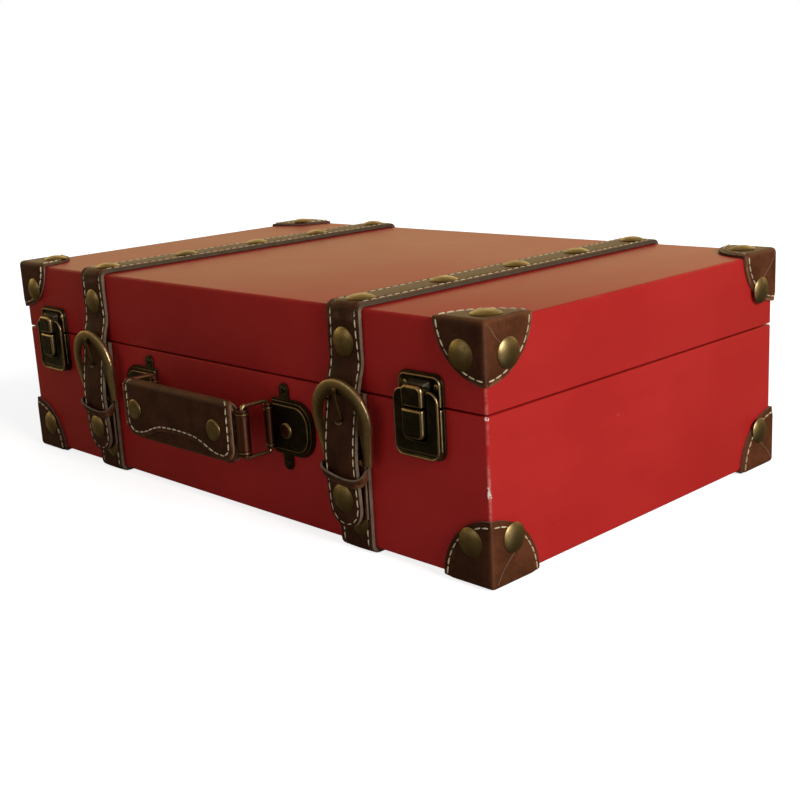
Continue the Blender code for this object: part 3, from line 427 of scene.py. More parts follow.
@dataclass(frozen=True)
class Thread:
    """Cream waxed sewing thread, twisted and slightly dirty."""

    name: str = "cream_thread"
    cream: Colour = (0.82, 0.70, 0.46)
    soiled: Colour = (0.54, 0.42, 0.26)

    def make(self) -> bpy.types.Material:
        """Build the material."""
        paint = Paint(self.name)
        twist = (paint.noise(520.0, 3.0, 0.6) * 9.0).wave() * 0.5 + 0.5
        # Random patches of dirt on the thread.
        soil = paint.noise(130.0, 3.0, 0.6).ramp(0.36, 0.62)
        colour = paint.blend(soil * 0.75 + twist * 0.25, self.soiled, self.cream)
        normal = paint.bump(twist, 0.0001, 0.4)
        rough = soil * 0.1 + 0.55
        return paint.done(Base_Color=colour, Roughness=rough, Normal=normal, Specular_IOR_Level=0.2)


class Brass(Enum):
    """Which antique metal a fitting is made of: bright tone, patina tone, patina share and roughness."""

    STUD = ((0.330, 0.245, 0.110), (0.185, 0.130, 0.052), 0.48, 0.27)
    BUCKLE = ((0.176, 0.108, 0.043), (0.096, 0.057, 0.022), 0.50, 0.26)
    PLATE = ((0.075, 0.058, 0.029), (0.024, 0.020, 0.012), 0.55, 0.28)
    RIM = ((0.500, 0.370, 0.180), (0.200, 0.140, 0.066), 0.46, 0.24)
    GREY = ((0.110, 0.090, 0.062), (0.048, 0.040, 0.028), 0.50, 0.50)
    BRONZE = ((0.215, 0.086, 0.052), (0.110, 0.040, 0.025), 0.46, 0.26)


@dataclass(frozen=True)
class AntiqueMetal:
    """Antiqued plated metal: cloudy patina, pits, brushing and bright rubbed places."""

    kind: Brass
    rubbed: Colour = (0.62, 0.48, 0.25)
    buckle_x: float = STRAP_X
    buckle_level: float = 0.0735
    buckle_half: float = 0.0222
    buckle_taper: float = 0.18

    def make(self) -> bpy.types.Material:
        """Build the material."""
        bright, patina, share, rough = self.kind.value
        paint = Paint(f"antique_{self.kind.name.lower()}")
        cloud = paint.noise(160.0, 6.0, 0.65)
        speck = paint.noise(1500.0, 4.0, 0.7)
        edges = paint.pointed().ramp(0.51, 0.58)
        mask = (cloud * 0.65 + speck * 0.35).ramp(share - 0.14, share + 0.14)
        colour = paint.blend(mask.larger(edges * 0.8), patina, bright)
        if self.kind is Brass.BUCKLE:
            colour = paint.blend(self.ridge(paint) * (mask * 0.30 + 0.55), colour, self.rubbed)
        pits = paint.cells(1300.0).ramp(0.0, 0.22)
        brushed = paint.noise(900.0, 2.0, 0.5, paint.stretch((1.0, 1.0, 0.12)))
        normal = paint.bump(pits * 0.5 + brushed * 0.3 + cloud * 0.2, 0.00010, 0.32)
        dull = (1.0 - mask) * 0.16 + speck * 0.10 + rough
        return paint.done(Base_Color=colour, Metallic=1.0, Roughness=dull, Normal=normal)

    def ridge(self, paint: Paint) -> Wire:
        """How near a place on a buckle is to the rubbed ridge along its outer rim."""
        x, _, z = paint.axes()
        side = abs(abs(x) - self.buckle_x)
        up = (z - self.buckle_level).larger(0.0)
        radius = (side * side + up * up) ** 0.5
        outer = self.buckle_half - (self.buckle_level - z).larger(0.0) * self.buckle_taper
        return (radius / outer).ramp(0.70, 0.93)


@dataclass(frozen=True)
class Lining:
    """Woven tan cotton lining."""

    name: str = "tan_lining"
    light: Colour = (0.42, 0.30, 0.17)
    dark: Colour = (0.22, 0.145, 0.075)
    pitch: float = 0.0009

    def make(self) -> bpy.types.Material:
        """Build the material."""
        paint = Paint(self.name)
        x, y, z = paint.axes()
        turn = FULL_TURN / self.pitch
        warp = ((x + y) * turn).wave() * 0.5 + 0.5
        weft = ((x - y + z * 2.0) * turn).wave() * 0.5 + 0.5
        weave = warp.larger(weft)
        cloud = paint.noise(40.0, 4.0, 0.6)
        colour = paint.blend(weave * 0.6 + cloud * 0.5, self.dark, self.light)
        rough = cloud * 0.1 + 0.82
        return paint.done(Base_Color=colour, Roughness=rough, Normal=paint.bump(weave, 0.0002, 0.5))


class Finish(Enum):
    """Each finish of the trunk, with the record's slot that it belongs to."""

    COVERING = ("covering", "red_covering")
    LINING = ("lining", "lining_cloth")
    LEATHER = ("strap leather", "brown_leather")
    CAP = ("cap leather", "brown_leather")
    GRIP = ("grip leather", "brown_leather")
    EDGE = ("cut edge", "brown_leather")
    THREAD = ("thread", "brown_leather")
    STUD = ("stud brass", "antique_brass")
    BUCKLE = ("buckle brass", "antique_brass")
    PLATE = ("plate brass", "antique_brass")
    RIM = ("rubbed rim", "antique_brass")
    GREY = ("grey brass", "antique_brass")
    BRONZE = ("bronze", "bronze")

    @property
    def slot(self) -> str:
        """Name of the slot."""
        return self.value[1]


SKIN = (Finish.LEATHER, Finish.EDGE)
METAL = (Finish.PLATE, Finish.RIM)
THREAD = (Finish.THREAD,)
STUD = (Finish.STUD,)


def make_finishes() -> dict[Finish, bpy.types.Material]:
    """Build every material once.

    Returns:
        The material of each finish.
    """
    caps = BoxEdges(half_width=0.2173, half_depth=0.1306, underside=0.0008, top=0.1338)
    made = {
        Finish.COVERING: Covering().make(),
        Finish.LINING: Lining().make(),
        Finish.LEATHER: Leather("brown_leather").make(),
        Finish.CAP: Leather("cap_leather", (0.128, 0.040, 0.015), (0.070, 0.021, 0.008), box=caps).make(),
        Finish.GRIP: Leather("grip_leather", (0.125, 0.036, 0.013), (0.062, 0.018, 0.007), gloss=0.34).make(),
        Finish.EDGE: CutEdge().make(),
        Finish.THREAD: Thread().make(),
    }
    for kind in Brass:
        made[Finish[kind.name]] = AntiqueMetal(kind).make()
    return made


def front(x: float, reach: float, height: float) -> Vector:
    """Place on the front, from a reach outward and a height over the box's underside."""
    return Vector((x, FRONT - reach, UNDERSIDE + height))


def arc(centre: Point, radius: float, start: float, end: float, steps: int) -> list[Point]:
    """Points along an arc, both ends included."""
    turns = [start + (end - start) * step / steps for step in range(steps + 1)]
    return [(centre[0] + radius * math.cos(turn), centre[1] + radius * math.sin(turn)) for turn in turns]


def fillet(corners: Sequence[Triple], steps: int = 6) -> list[Point]:
    """Round the corners of an outline.

    Args:
        corners: the outline's corners in order, each with its radius, or 0 for a sharp one.
        steps: edges in each rounded corner.

    Returns:
        The points of the rounded outline.
    """
    outline: list[Point] = []
    for index, (u, v, radius) in enumerate(corners):
        here = Vector((u, v))
        if not radius:
            outline.append((u, v))
            continue
        before = (Vector(corners[index - 1][:2]) - here).normalized()
        after = (Vector(corners[(index + 1) % len(corners)][:2]) - here).normalized()
        half = before.angle(after) / 2
        centre = here + (before + after).normalized() * radius / math.sin(half)
        ends = [here + way * radius / math.tan(half) - centre for way in (before, after)]
        turn = ends[0].angle_signed(ends[1])
        first = math.atan2(ends[0].y, ends[0].x)
        outline += arc(tuple(centre), radius, first, first - turn, steps)
    return outline


def box_outline(
    half: float, low: float, high: float, foot: float, head: Optional[float] = None, steps: int = 6
) -> list[Point]:
    """Rectangle with round corners, centred across.

    Args:
        half: half its width.
        low: its lower end.
        high: its upper end.
        foot: radius of the lower corners.
        head: radius of the upper corners, or none for the same.
        steps: edges in each corner.

    Returns:
        Its outline.
    """
    top = foot if head is None else head
    return fillet(((half, low, foot), (half, high, top), (-half, high, top), (-half, low, foot)), steps)


def both_sides(side: Sequence[tuple], middle: Sequence[Point] = ()) -> list[tuple]:
    """Right side of an outline, the points between, and the left side that mirrors the right."""
    return [*side, *middle, *((-place[0], *place[1:]) for place in reversed(side))]


def clamped(share: float) -> float:
    """Share held between 0 and 1."""
    return min(1.0, max(0.0, share))


def sparse(parts: dict[int, float]) -> Vector:
    """Vector with the given parts, and 0 elsewhere."""
    made = Vector()
    for axis, part in parts.items():
        made[axis] = part
    return made


def smooth_path(points: Sequence[Vector], steps: int) -> list[Vector]:
    """Curve through the points, with the given number of stretches between neighbours."""
    padded = [points[0] * 2 - points[1], *points, points[-1] * 2 - points[-2]]
    curve = []
    for a, b, c, d in zip(padded, padded[1:], padded[2:], padded[3:]):
        for step in range(steps):
            t = step / steps
            bend = (b * 3 - c * 3 + d - a) * t * t * t + (a * 2 - b * 5 + c * 4 - d) * t * t
            curve.append((b * 2 + (c - a) * t + bend) / 2)
    curve.append(points[-1].copy())
    return curve


def station(origin: Vector, across: Vector, up: Vector, wide: float = 1.0, thick: float = 1.0) -> Matrix:
    """Matrix that carries a section to its place.

    Args:
        origin: where the section's origin goes.
        across: direction of its first axis.
        up: direction of its second axis.
        wide: scale of its first axis.
        thick: scale of its second axis.

    Returns:
        The matrix.
    """
    first, second = across.normalized(), up.normalized()
    turn = Matrix((first * wide, second * thick, first.cross(second))).transposed().to_4x4()
    turn.translation = origin
    return turn


def tangents(points: Sequence[Vector], closed: bool = False) -> list[Vector]:
    """Unit direction of a path at each point."""
    count = len(points)
    ways = []
    for index in range(count):
        before = points[index - 1] if index or closed else points[0]
        after = points[(index + 1) % count] if index + 1 < count or closed else points[-1]
        ways.append((after - before).normalized())
    return ways


def sweep(section: Sequence[Point], stations: Sequence[Matrix], closed: bool = False) -> Mesh:
    """Carry a flat section along its stations.

    Args:
        section: outline of the section.
        stations: matrix of the section at each station.
        closed: whether the last station runs back into the first.

    Returns:
        A closed mesh.
    """
    work = bmesh.new()
    corners = [work.verts.new((u, v, 0.0)) for u, v in section]
    cap = first = work.faces.new(corners)
    bmesh.ops.transform(work, matrix=stations[0], verts=corners)
    for last, here in zip(stations, stations[1:]):
        grown = bmesh.ops.extrude_face_region(work, geom=[cap])["geom"]
        cap = next(item for item in grown if isinstance(item, Face))
        bmesh.ops.transform(work, matrix=here @ last.inverted(), verts=list(cap.verts))
    if closed:
        rims = list(first.edges) + list(cap.edges)
        bmesh.ops.delete(work, geom=[first, cap], context="FACES_ONLY")
        bmesh.ops.bridge_loops(work, edges=rims)
    bmesh.ops.recalc_face_normals(work, faces=work.faces)
    return work


def loft(rings: Sequence[Sequence[Vector]], finishes: Sequence[int] = ()) -> Mesh:
    """Skin over rings, with a face at either end.

    Args:
        rings: rings of the same number of points.
        finishes: material index of each strip between two rings, and then of the last face.

    Returns:
        A closed mesh.
    """
    work = bmesh.new()
    rows = [[work.verts.new(point) for point in ring] for ring in rings]
    marks = list(finishes) + [0] * len(rings)
    for low, high, mark in zip(rows, rows[1:], marks):
        for index in range(len(low)):
            work.faces.new((low[index - 1], low[index], high[index], high[index - 1])).material_index = mark
    work.faces.new(rows[0])
    work.faces.new(rows[-1]).material_index = marks[len(rings) - 1]
    bmesh.ops.recalc_face_normals(work, faces=work.faces)
    return work


def raised(base: float, levels: Sequence[Level]) -> list[Level]:
    """Levels measured from a base, as reaches outward from the front."""
    return [(margin, base + rise, mark) for margin, rise, mark in levels]


def terrace(x: float, outline: Callable[[float], Sequence[Point]], levels: Sequence[Level]) -> Mesh:
    """Plate on the front with a stepped or rounded face.

    Args:
        x: its middle.
        outline: outline in X and Z at a margin from its rim.
        levels: margin, reach outward and finish of the strip that starts there, from the back to the face.

    Returns:
        A closed mesh.
    """
    rings = [[front(x + u, reach, v) for u, v in outline(margin)] for margin, reach, _ in levels]
    return loft(rings, [mark for _, _, mark in levels])


def prism(outline: Sequence[Point], place: Matrix, thick: float) -> Mesh:
    """Plate of an even thickness on a station."""
    return sweep(outline, [place, place @ Matrix.Translation((0.0, 0.0, thick))])


def front_plate(x: float, reach: float, outline: Sequence[Point], thick: float) -> Mesh:
    """Plate that lies flat on the front, its outline drawn in X and in height over the underside."""
    return prism(outline, Matrix.Translation(front(x, reach, 0.0)) @ UPRIGHT, thick)


def tube(points: Sequence[Vector], radius: float, sides: int = 12, closed: bool = False) -> Mesh:
    """Round wire along a path."""
    ways = tangents(points, closed)
    across = ways[0].orthogonal()
    stations = []
    for point, way in zip(points, ways):
        across = (across - way * across.dot(way)).normalized()
        stations.append(station(point, across, way.cross(across)))
    ring = [(radius * math.cos(turn), radius * math.sin(turn)) for turn in ring_turns(sides)]
    return sweep(ring, stations, closed)


def ring_turns(sides: int) -> list[float]:
    """Angles of a ring's corners."""
    return [FULL_TURN * side / sides for side in range(sides)]


def lathe(profile: Sequence[Point], centre: Vector, axis: Vector, steps: int = 32) -> Mesh:
    """Turn a profile of radius and height about an axis.

    Args:
        profile: radius and height of each point; it may start and end on the axis.
        centre: where height 0 lies.
        axis: direction of the height.
        steps: steps in the full turn.

    Returns:
        A closed mesh.
    """
    work = bmesh.new()
    points = [work.verts.new((radius, 0.0, height)) for radius, height in profile]
    edges = [work.edges.new(pair) for pair in zip(points, points[1:])]
    if profile[0][0] > 0 or profile[-1][0] > 0:
        edges.append(work.edges.new((points[-1], points[0])))
    bmesh.ops.spin(
        work, geom=points + edges, cent=(0, 0, 0), axis=Z_AXIS, angle=FULL_TURN, steps=steps, use_merge=True
    )
    bmesh.ops.remove_doubles(work, verts=work.verts, dist=MERGE)
    bmesh.ops.recalc_face_normals(work, faces=work.faces)
    stand = Z_AXIS.rotation_difference(axis).to_matrix().to_4x4()
    stand.translation = centre
    bmesh.ops.transform(work, matrix=stand, verts=work.verts)
    return work


def soften(
    work: Mesh,
    width: float,
    segments: int = 3,
    angle: float = 0.6,
    chosen: Optional[Callable[[bmesh.types.BMEdge], bool]] = None,
) -> Mesh:
    """Round the sharp edges.

    Args:
        work: the mesh to change.
        width: width of the rounding.
        segments: faces across it.
        angle: edges sharper than this are rounded.
        chosen: a further test that an edge has to pass.

    Returns:
        The same mesh.
    """
    sharp = [edge for edge in work.edges if len(edge.link_faces) == 2 and edge.calc_face_angle() > angle]
    edges = [edge for edge in sharp if chosen is None or chosen(edge)]
    bmesh.ops.bevel(
        work, geom=edges, offset=width, affect="EDGES", segments=segments, profile=0.5, material=-1,
        clamp_overlap=True,
    )
    return work


def mesh_data(work: Mesh, name: str) -> bpy.types.Mesh:
    """Blender's own data of a finished mesh, which is freed."""
    data = bpy.data.meshes.new(name)
    work.to_mesh(data)
    work.free()
    return data


def placed(name: str, data: bpy.types.ID) -> bpy.types.Object:
    """Object of some data, set in the scene."""
    piece = bpy.data.objects.new(name, data)
    bpy.context.scene.collection.objects.link(piece)
    return piece


def merged(*parts: Mesh) -> Mesh:
    """Put several meshes into the first one."""
    whole = parts[0]
    for part in parts[1:]:
        spare = mesh_data(part, "spare")
        whole.from_mesh(spare)
        bpy.data.meshes.remove(spare)
    return whole


def give_finish(work: Mesh, index: int, test: Callable[[Face], bool]) -> None:
    """Set the material index of the faces that pass a test."""
    for face in work.faces:
        if test(face):
            face.material_index = index


def mirror_x(work: Mesh) -> Mesh:
    """Mirror a mesh to the other side of the trunk."""
    bmesh.ops.scale(work, vec=(-1, 1, 1), verts=work.verts)
    bmesh.ops.reverse_faces(work, faces=work.faces)
    return work


@dataclass
class Bench:
    """Sets finished meshes in the scene, each with its finishes, its body and the nodes it stands for."""

    finishes: dict[Finish, bpy.types.Material]
    soft_angle: float = 0.7
    count: int = 0

    def add(
        self,
        work: Mesh,
        name: str,
        finishes: Sequence[Finish],
        body: str,
        node: str = "",
        blend: Optional[tuple[str, Vector, Vector]] = None,
    ) -> None:
        """Make an object of a mesh.

        Args:
            work: the mesh, which is freed.
            name: the piece's name.
            finishes: its finishes, by material index.
            body: the body that it rides on.
            node: the CAD node that it replaces, if any.
            blend: for leather across a joint, the second body and where the turn starts and ends; only
                whether it is given is read: such a piece is baked in place and rides on no body.
        """
        mesh = mesh_data(work, name)
        mesh.shade_smooth()
        mesh.set_sharp_from_angle(angle=self.soft_angle)
        for finish in finishes:
            mesh.materials.append(self.finishes[finish])
        piece = placed(name, mesh)
        if blend:
            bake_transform(piece)
        else:
            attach(piece, body)
        if node:
            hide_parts(node)
        self.count += 1
        LOG.info("%s on %s: %d faces", name, body, len(mesh.polygons))

    def add_side(self, side: str, *rows: tuple[Mesh, str, Sequence[Finish], str, str]) -> None:
        """Add pieces from rows of mesh, name, finishes, body and node, with the side after name and node."""
        for work, name, finishes, body, node in rows:
            self.add(work, f"{name}_{side}", finishes, body, f"{node}_{side}" if node else "")

    def dress(self, node: str, finish: Finish) -> None:
        """Give a CAD node that stays its finish."""
        for slot in bpy.data.objects[node].material_slots:
            slot.material = self.finishes[finish]
        LOG.info("%s keeps its solid, in %s", node, finish.name.lower())


@dataclass
class Stitching:
    """Rows of saddle stitches: short rounded lengths of thread."""

    pitch: float = 0.0056
    length: float = 0.0049
    wide: float = 0.00105
    thick: float = 0.00115
    row: list[Matrix] = field(default_factory=list)

    def run(self, points: Sequence[Vector], outward: Sequence[Vector]) -> None:
        """Lay stitches along a path.

        Args:
            points: the path.
            outward: the leather's outward direction at each point.
        """
        spans = [(b - a).length for a, b in zip(points, points[1:])]
        total = sum(spans)
        count = max(1, round(total / self.pitch))
        step = total / count
        for index in range(count):
            start = self._along(points, outward, spans, (index + 0.5) * step - self.length / 2)
            end = self._along(points, outward, spans, (index + 0.5) * step + self.length / 2)
            way, out = end[0] - start[0], (start[1] + end[1]).normalized()
            size = Matrix.Diagonal((self.wide / 2, self.thick / 2, way.length / 2, 1.0))
            self.row.append(station((start[0] + end[0]) / 2, out.cross(way), out) @ size)

    @staticmethod
    def _along(
        points: Sequence[Vector], outward: Sequence[Vector], spans: Sequence[float], distance: float
    ) -> tuple[Vector, Vector]:
        """Point and outward direction at a distance along a path."""
        for index, span in enumerate(spans):
            if distance <= span or index == len(spans) - 1:
                return tuple(row[index].lerp(row[index + 1], distance / span) for row in (points, outward))
            distance -= span
        raise ValueError("a path needs two points")

    def mesh(self) -> Mesh:
        """Make one mesh of all the stitches laid so far, and start afresh."""
        work = bmesh.new()
        for place in self.row:
            bmesh.ops.create_uvsphere(work, u_segments=6, v_segments=4, radius=1.0, matrix=place)
        bmesh.ops.recalc_face_normals(work, faces=work.faces)
        self.row = []
        return work


@dataclass
class Studs:
    """Dome-headed studs with a rolled rim."""

    radius: float = 0.00775
    height: float = 0.0023
    rim: float = 0.0006
    small: float = 0.007
    grip: float = 0.00625
    steps: int = 8
    disc_height_share: float = 0.52
    disc_shares: tuple[Point, ...] = (
        (0.0, 1.0), (0.55, 0.98), (0.84, 0.93), (0.93, 0.80), (0.98, 0.58), (1.0, 0.30), (0.97, 0.0),
        (0.0, 0.0),
    )

    def dome(self, seat: Vector, axis: Vector, radius: Optional[float] = None) -> Mesh:
        """One stud.

        Args:
            seat: middle of its seat on the leather.
            axis: outward direction.
            radius: its radius, or the usual one.

        Returns:
            Its mesh.
        """
        wide = radius or self.radius
        crown = self.height - self.rim
        profile = [(0.0, self.height)]
        for step in range(1, self.steps + 1):
            share = step / self.steps
            lift = self.rim + crown * (1 - share ** 2.3)
            profile.append(((wide - self.rim / 2) * share, lift))
        profile += [(wide, self.rim * 0.55), (wide - self.rim * 0.15, self.rim * 0.1)]
        profile += [(wide - self.rim, 0.0), (0.0, 0.0)]
        return lathe(profile, seat, axis, 40)

    def disc(self, seat: Vector, axis: Vector, radius: float) -> Mesh:
        """Flat-headed stud with a rounded rim."""
        top = self.height * self.disc_height_share
        return lathe([(radius * across, top * up) for across, up in self.disc_shares], seat, axis, 40)


@dataclass
class Case:
    """The box: covered base and lid shells with rounded edges, and their linings."""

    width: float = 2 * BOX_HALF
    depth: float = 0.2566
    wall: float = 0.005
    edge_round: float = 0.0017
    rim_round: float = 0.0008
    seam_gap: float = 0.0009
    lining: float = 0.0012
    inset: float = 0.0053

    def tray(self, floor: float, rim: float, inset: float, wall: float, rounding: float) -> Mesh:
        """Open box.

        Args:
            floor: height of its closed face.
            rim: height of its open face, over or under the floor.
            inset: distance in from the box's outline.
            wall: thickness of its walls.
            rounding: width of the rounding of its outer edges.

        Returns:
            A closed mesh of the walls and floor.
        """
        way = 1 if rim > floor else -1
        work = bmesh.new()
        middle = Vector((0, FRONT + self.depth / 2, UNDERSIDE + (floor + rim) / 2))
        size = (self.width - 2 * inset, self.depth - 2 * inset, abs(rim - floor))
        place = Matrix.Translation(middle) @ Matrix.Diagonal((*size, 1.0))
        bmesh.ops.create_cube(work, size=1.0, matrix=place)
        mouth = next(face for face in work.faces if face.normal.z * way > 0.5)
        bmesh.ops.inset_region(work, faces=[mouth], thickness=wall, use_even_offset=True)
        sunk = bmesh.ops.extrude_discrete_faces(work, faces=[mouth])["faces"]
        bmesh.ops.translate(work, verts=list(sunk[0].verts), vec=(0, 0, -way * (abs(rim - floor) - wall)))
        level = UNDERSIDE + rim
        outer = [edge for edge in work.edges if self._outside(edge, size, middle)]
        outer = [edge for edge in outer if not self._at(edge, level)]
        bmesh.ops.bevel(
            work, geom=outer, offset=rounding, affect="EDGES", segments=5, profile=0.5, material=-1
        )
        soften(work, min(self.rim_round, wall / 3), 3, 1.0, chosen=lambda edge: self._at(edge, level))
        bmesh.ops.recalc_face_normals(work, faces=work.faces)
        return work

    @staticmethod
    def _at(edge: bmesh.types.BMEdge, height: float) -> bool:
        """Whether an edge lies at a height."""
        return all(abs(vert.co.z - height) < MERGE for vert in edge.verts)

    @staticmethod
    def _outside(edge: bmesh.types.BMEdge, size: Triple, middle: Vector) -> bool:
        """Whether both ends of an edge are corners of the tray's outline."""
        places = [vert.co - middle for vert in edge.verts]
        return all(abs(place[axis]) > size[axis] / 2 - MERGE for place in places for axis in (0, 1))

    def build(self, bench: Bench) -> None:
        """Make both shells and both linings."""
        halves = (("base", 0.0, 1), ("lid", BOX_HEIGHT, -1))
        for part, floor, way in halves:
            shell = self.tray(floor, SEAM_HEIGHT - way * self.seam_gap / 2, 0.0, self.wall, self.edge_round)
            bench.add(shell, f"covered_{part}", (Finish.COVERING,), part, f"{part}_shell")
        for part, floor, way in halves:
            rim = SEAM_HEIGHT - way * self.seam_gap / 2
            cloth = self.tray(floor + way * self.inset, rim, self.inset, self.lining, self.lining / 2)
            bench.add(cloth, f"{part}_cloth", (Finish.LINING,), part, f"{part}_lining")


@dataclass
class CornerCap:
    """Stitched leather cap on a corner, its free edge drawn down to the box, with dome studs."""

    base_reach: Triple = (0.0335, 0.0358, 0.0352)
    lid_reach: Triple = (0.0338, 0.0352, 0.0320)
    thick: float = 0.002
    round: float = 0.0030
    stud_inset: float = 0.0188
    dart: float = 0.0005
    dart_start: Triple = (0.0, 0.0034, 0.0030)
    dart_bend: Triple = (0.0, 0.0085, 0.0098)
    groove: float = 0.00022
    groove_half: float = 0.0007
    stitch_inset: float = 0.0028
    rows: int = 18
    gather: float = 1.45
    droop: float = 0.0009
    stitch_pitch: float = 0.0049
    stitch_length: float = 0.0044
    stitch_wide: float = 0.0009
    stitch_end_turn: float = 0.06
    stitch_points: int = 25
    studs: Studs = field(default_factory=Studs)
    stud_places: dict[tuple[str, int], Point] = field(
        default_factory=lambda: {
            ("lid_corner_front_right", 0): (0.0164, 0.0178),
            ("lid_corner_front_right", 1): (0.0152, 0.0177),
            ("lid_corner_front_right", 2): (0.0118, 0.0148),
            ("base_corner_front_right", 0): (0.0161, 0.0238),
            ("base_corner_front_right", 1): (0.0138, 0.0227),
            ("lid_corner_back_right", 0): (0.0186, 0.0232),
            ("lid_corner_back_right", 2): (0.0140, 0.0165),
            ("base_corner_back_right", 0): (0.0178, 0.0240),
        }
    )

    def leather(self, reach: Triple) -> Mesh:
        """Cap at a corner at the origin whose faces run towards +X, +Y and +Z."""
        work = bmesh.new()
        bmesh.ops.create_cube(work, size=1.0, matrix=Matrix.Translation((0.5, 0.5, 0.5)))
        far = [face for face in work.faces if face.calc_center_median().dot(face.normal) > 0.5]
        bmesh.ops.delete(work, geom=far, context="FACES")
        bmesh.ops.subdivide_edges(work, edges=work.edges, cuts=self.rows - 1, use_grid_fill=True)
        outer = list(work.verts)
        copies = bmesh.ops.duplicate(work, geom=outer + list(work.edges) + list(work.faces))["vert_map"]
        for vert in outer:
            face, back = self.surface(vert.co, reach)
            vert.co = face
            copies[vert].co = back
        rims = [edge for edge in work.edges if edge.is_boundary]
        for face in bmesh.ops.bridge_loops(work, edges=rims)["faces"]:
            face.material_index = 1
        bmesh.ops.recalc_face_normals(work, faces=work.faces)
        return work

    def seam(self) -> Mesh:
        """Thin raised seam of the dart on the side face, from the corner to the stud."""
        far = self.stud_inset * 0.86
        path = smooth_path([Vector(self.dart_start), Vector(self.dart_bend), Vector((0.0, far, far))], 4)
        ways = tangents(path)
        stations = [station(point, way.cross(-X_AXIS), -X_AXIS) for point, way in zip(path, ways)]
        half = self.dart / 2
        crest = half / 2
        ridge = sweep([(-half, -half), (half, -half), (crest, crest), (-crest, crest)], stations)
        give_finish(ridge, 1, lambda face: True)
        return ridge

    def surface(self, unit: Vector, reach: Triple) -> tuple[Vector, Vector]:
        """Places on the cap's outer and inner surface.

        Args:
            unit: point of the unit cube's corner.
            reach: how far the cap runs along each axis.

        Returns:
            The outer and the inner place.
        """
        flat = min(range(3), key=lambda axis: unit[axis])
        a, b = [axis for axis in range(3) if axis != flat]
        u, v = (abs(unit[axis]) ** self.gather for axis in (a, b))
        along, up = u * math.sqrt(1 - v * v / 2) * reach[a], v * math.sqrt(1 - u * u / 2) * reach[b]
        spread = sparse({a: along, b: up})
        core = Vector([max(part, self.round) for part in spread])
        outward = (spread - core).normalized()
        point = core + outward * self.round
        inner = point - outward * self.thick
        left = (1 - math.hypot(spread[a] / reach[a], spread[b] / reach[b])) * (reach[a] + reach[b]) / 2
        edge = max(0.0, 1 - left / (2 * self.stitch_inset))
        row = math.exp(-(((left - self.stitch_inset) / self.groove_half) ** 2))
        point[flat] += self.droop * edge * edge + self.groove * row
        return point, inner

    def stitches(self, reach: Triple) -> Mesh:
        """Stitches inside the free edge of each face."""
        rows = Stitching(pitch=self.stitch_pitch, length=self.stitch_length, wide=self.stitch_wide)
        for flat in range(3):
            a, b = [axis for axis in range(3) if axis != flat]
            path = []
            for step in range(self.stitch_points):
                share = step / (self.stitch_points - 1)
                turn = self.stitch_end_turn + (HALF_TURN / 2 - 2 * self.stitch_end_turn) * share
                along = (reach[a] - self.stitch_inset) * math.cos(turn)
                up = (reach[b] - self.stitch_inset) * math.sin(turn)
                path.append(sparse({a: along, b: up, flat: self.droop * 0.22}))
            rows.run(path, [sparse({flat: -1.0})] * len(path))
        return rows.mesh()

    def build(self, bench: Bench) -> None:
        """Make the eight caps with their stitches and studs."""
        gap = CLEAR + self.thick
        for part, level, up in (("base", 0.0, 1), ("lid", BOX_HEIGHT, -1)):
            for end, depth, back in (("front", FRONT, 1), ("back", BACK, -1)):
                for side, way in SIDES:
                    height = UNDERSIDE + level - up * gap
                    corner = Vector((way * (BOX_HALF + gap), depth - back * gap, height))
                    stand = Matrix.Translation(corner) @ Matrix.Diagonal((-way, back, up, 1.0))
                    self._cap(bench, stand, f"{part}_corner_{end}_{side}", part)

    def _cap(self, bench: Bench, stand: Matrix, place: str, part: str) -> None:
        """Make one cap.

        Args:
            bench: where it goes.
            stand: matrix from the cap's own corner to its place.
            place: the CAD node's name.
            part: base or lid.
        """
        reach = self.lid_reach if part == "lid" else self.base_reach
        leather = merged(self.leather(reach), self.seam())
        thread = self.stitches(reach)
        for work in (leather, thread):
            bmesh.ops.transform(work, matrix=stand, verts=work.verts)
            bmesh.ops.recalc_face_normals(work, faces=work.faces)
        bench.add(leather, f"{place}_leather", (Finish.CAP, Finish.EDGE), part, place)
        bench.add(thread, f"{place}_stitches", THREAD, part)
        heads = []
        for flat in range(3 if part == "lid" else 2):
            a, b = [axis for axis in range(3) if axis != flat]
            along, up = self.stud_places.get((place, flat), (self.stud_inset, self.stud_inset))
            seat = stand @ sparse({a: along, b: up})
            heads.append(self.studs.dome(seat, stand.to_3x3() @ sparse({flat: -1.0})))
        bench.add(merged(*heads), f"{place}_studs", STUD, part)


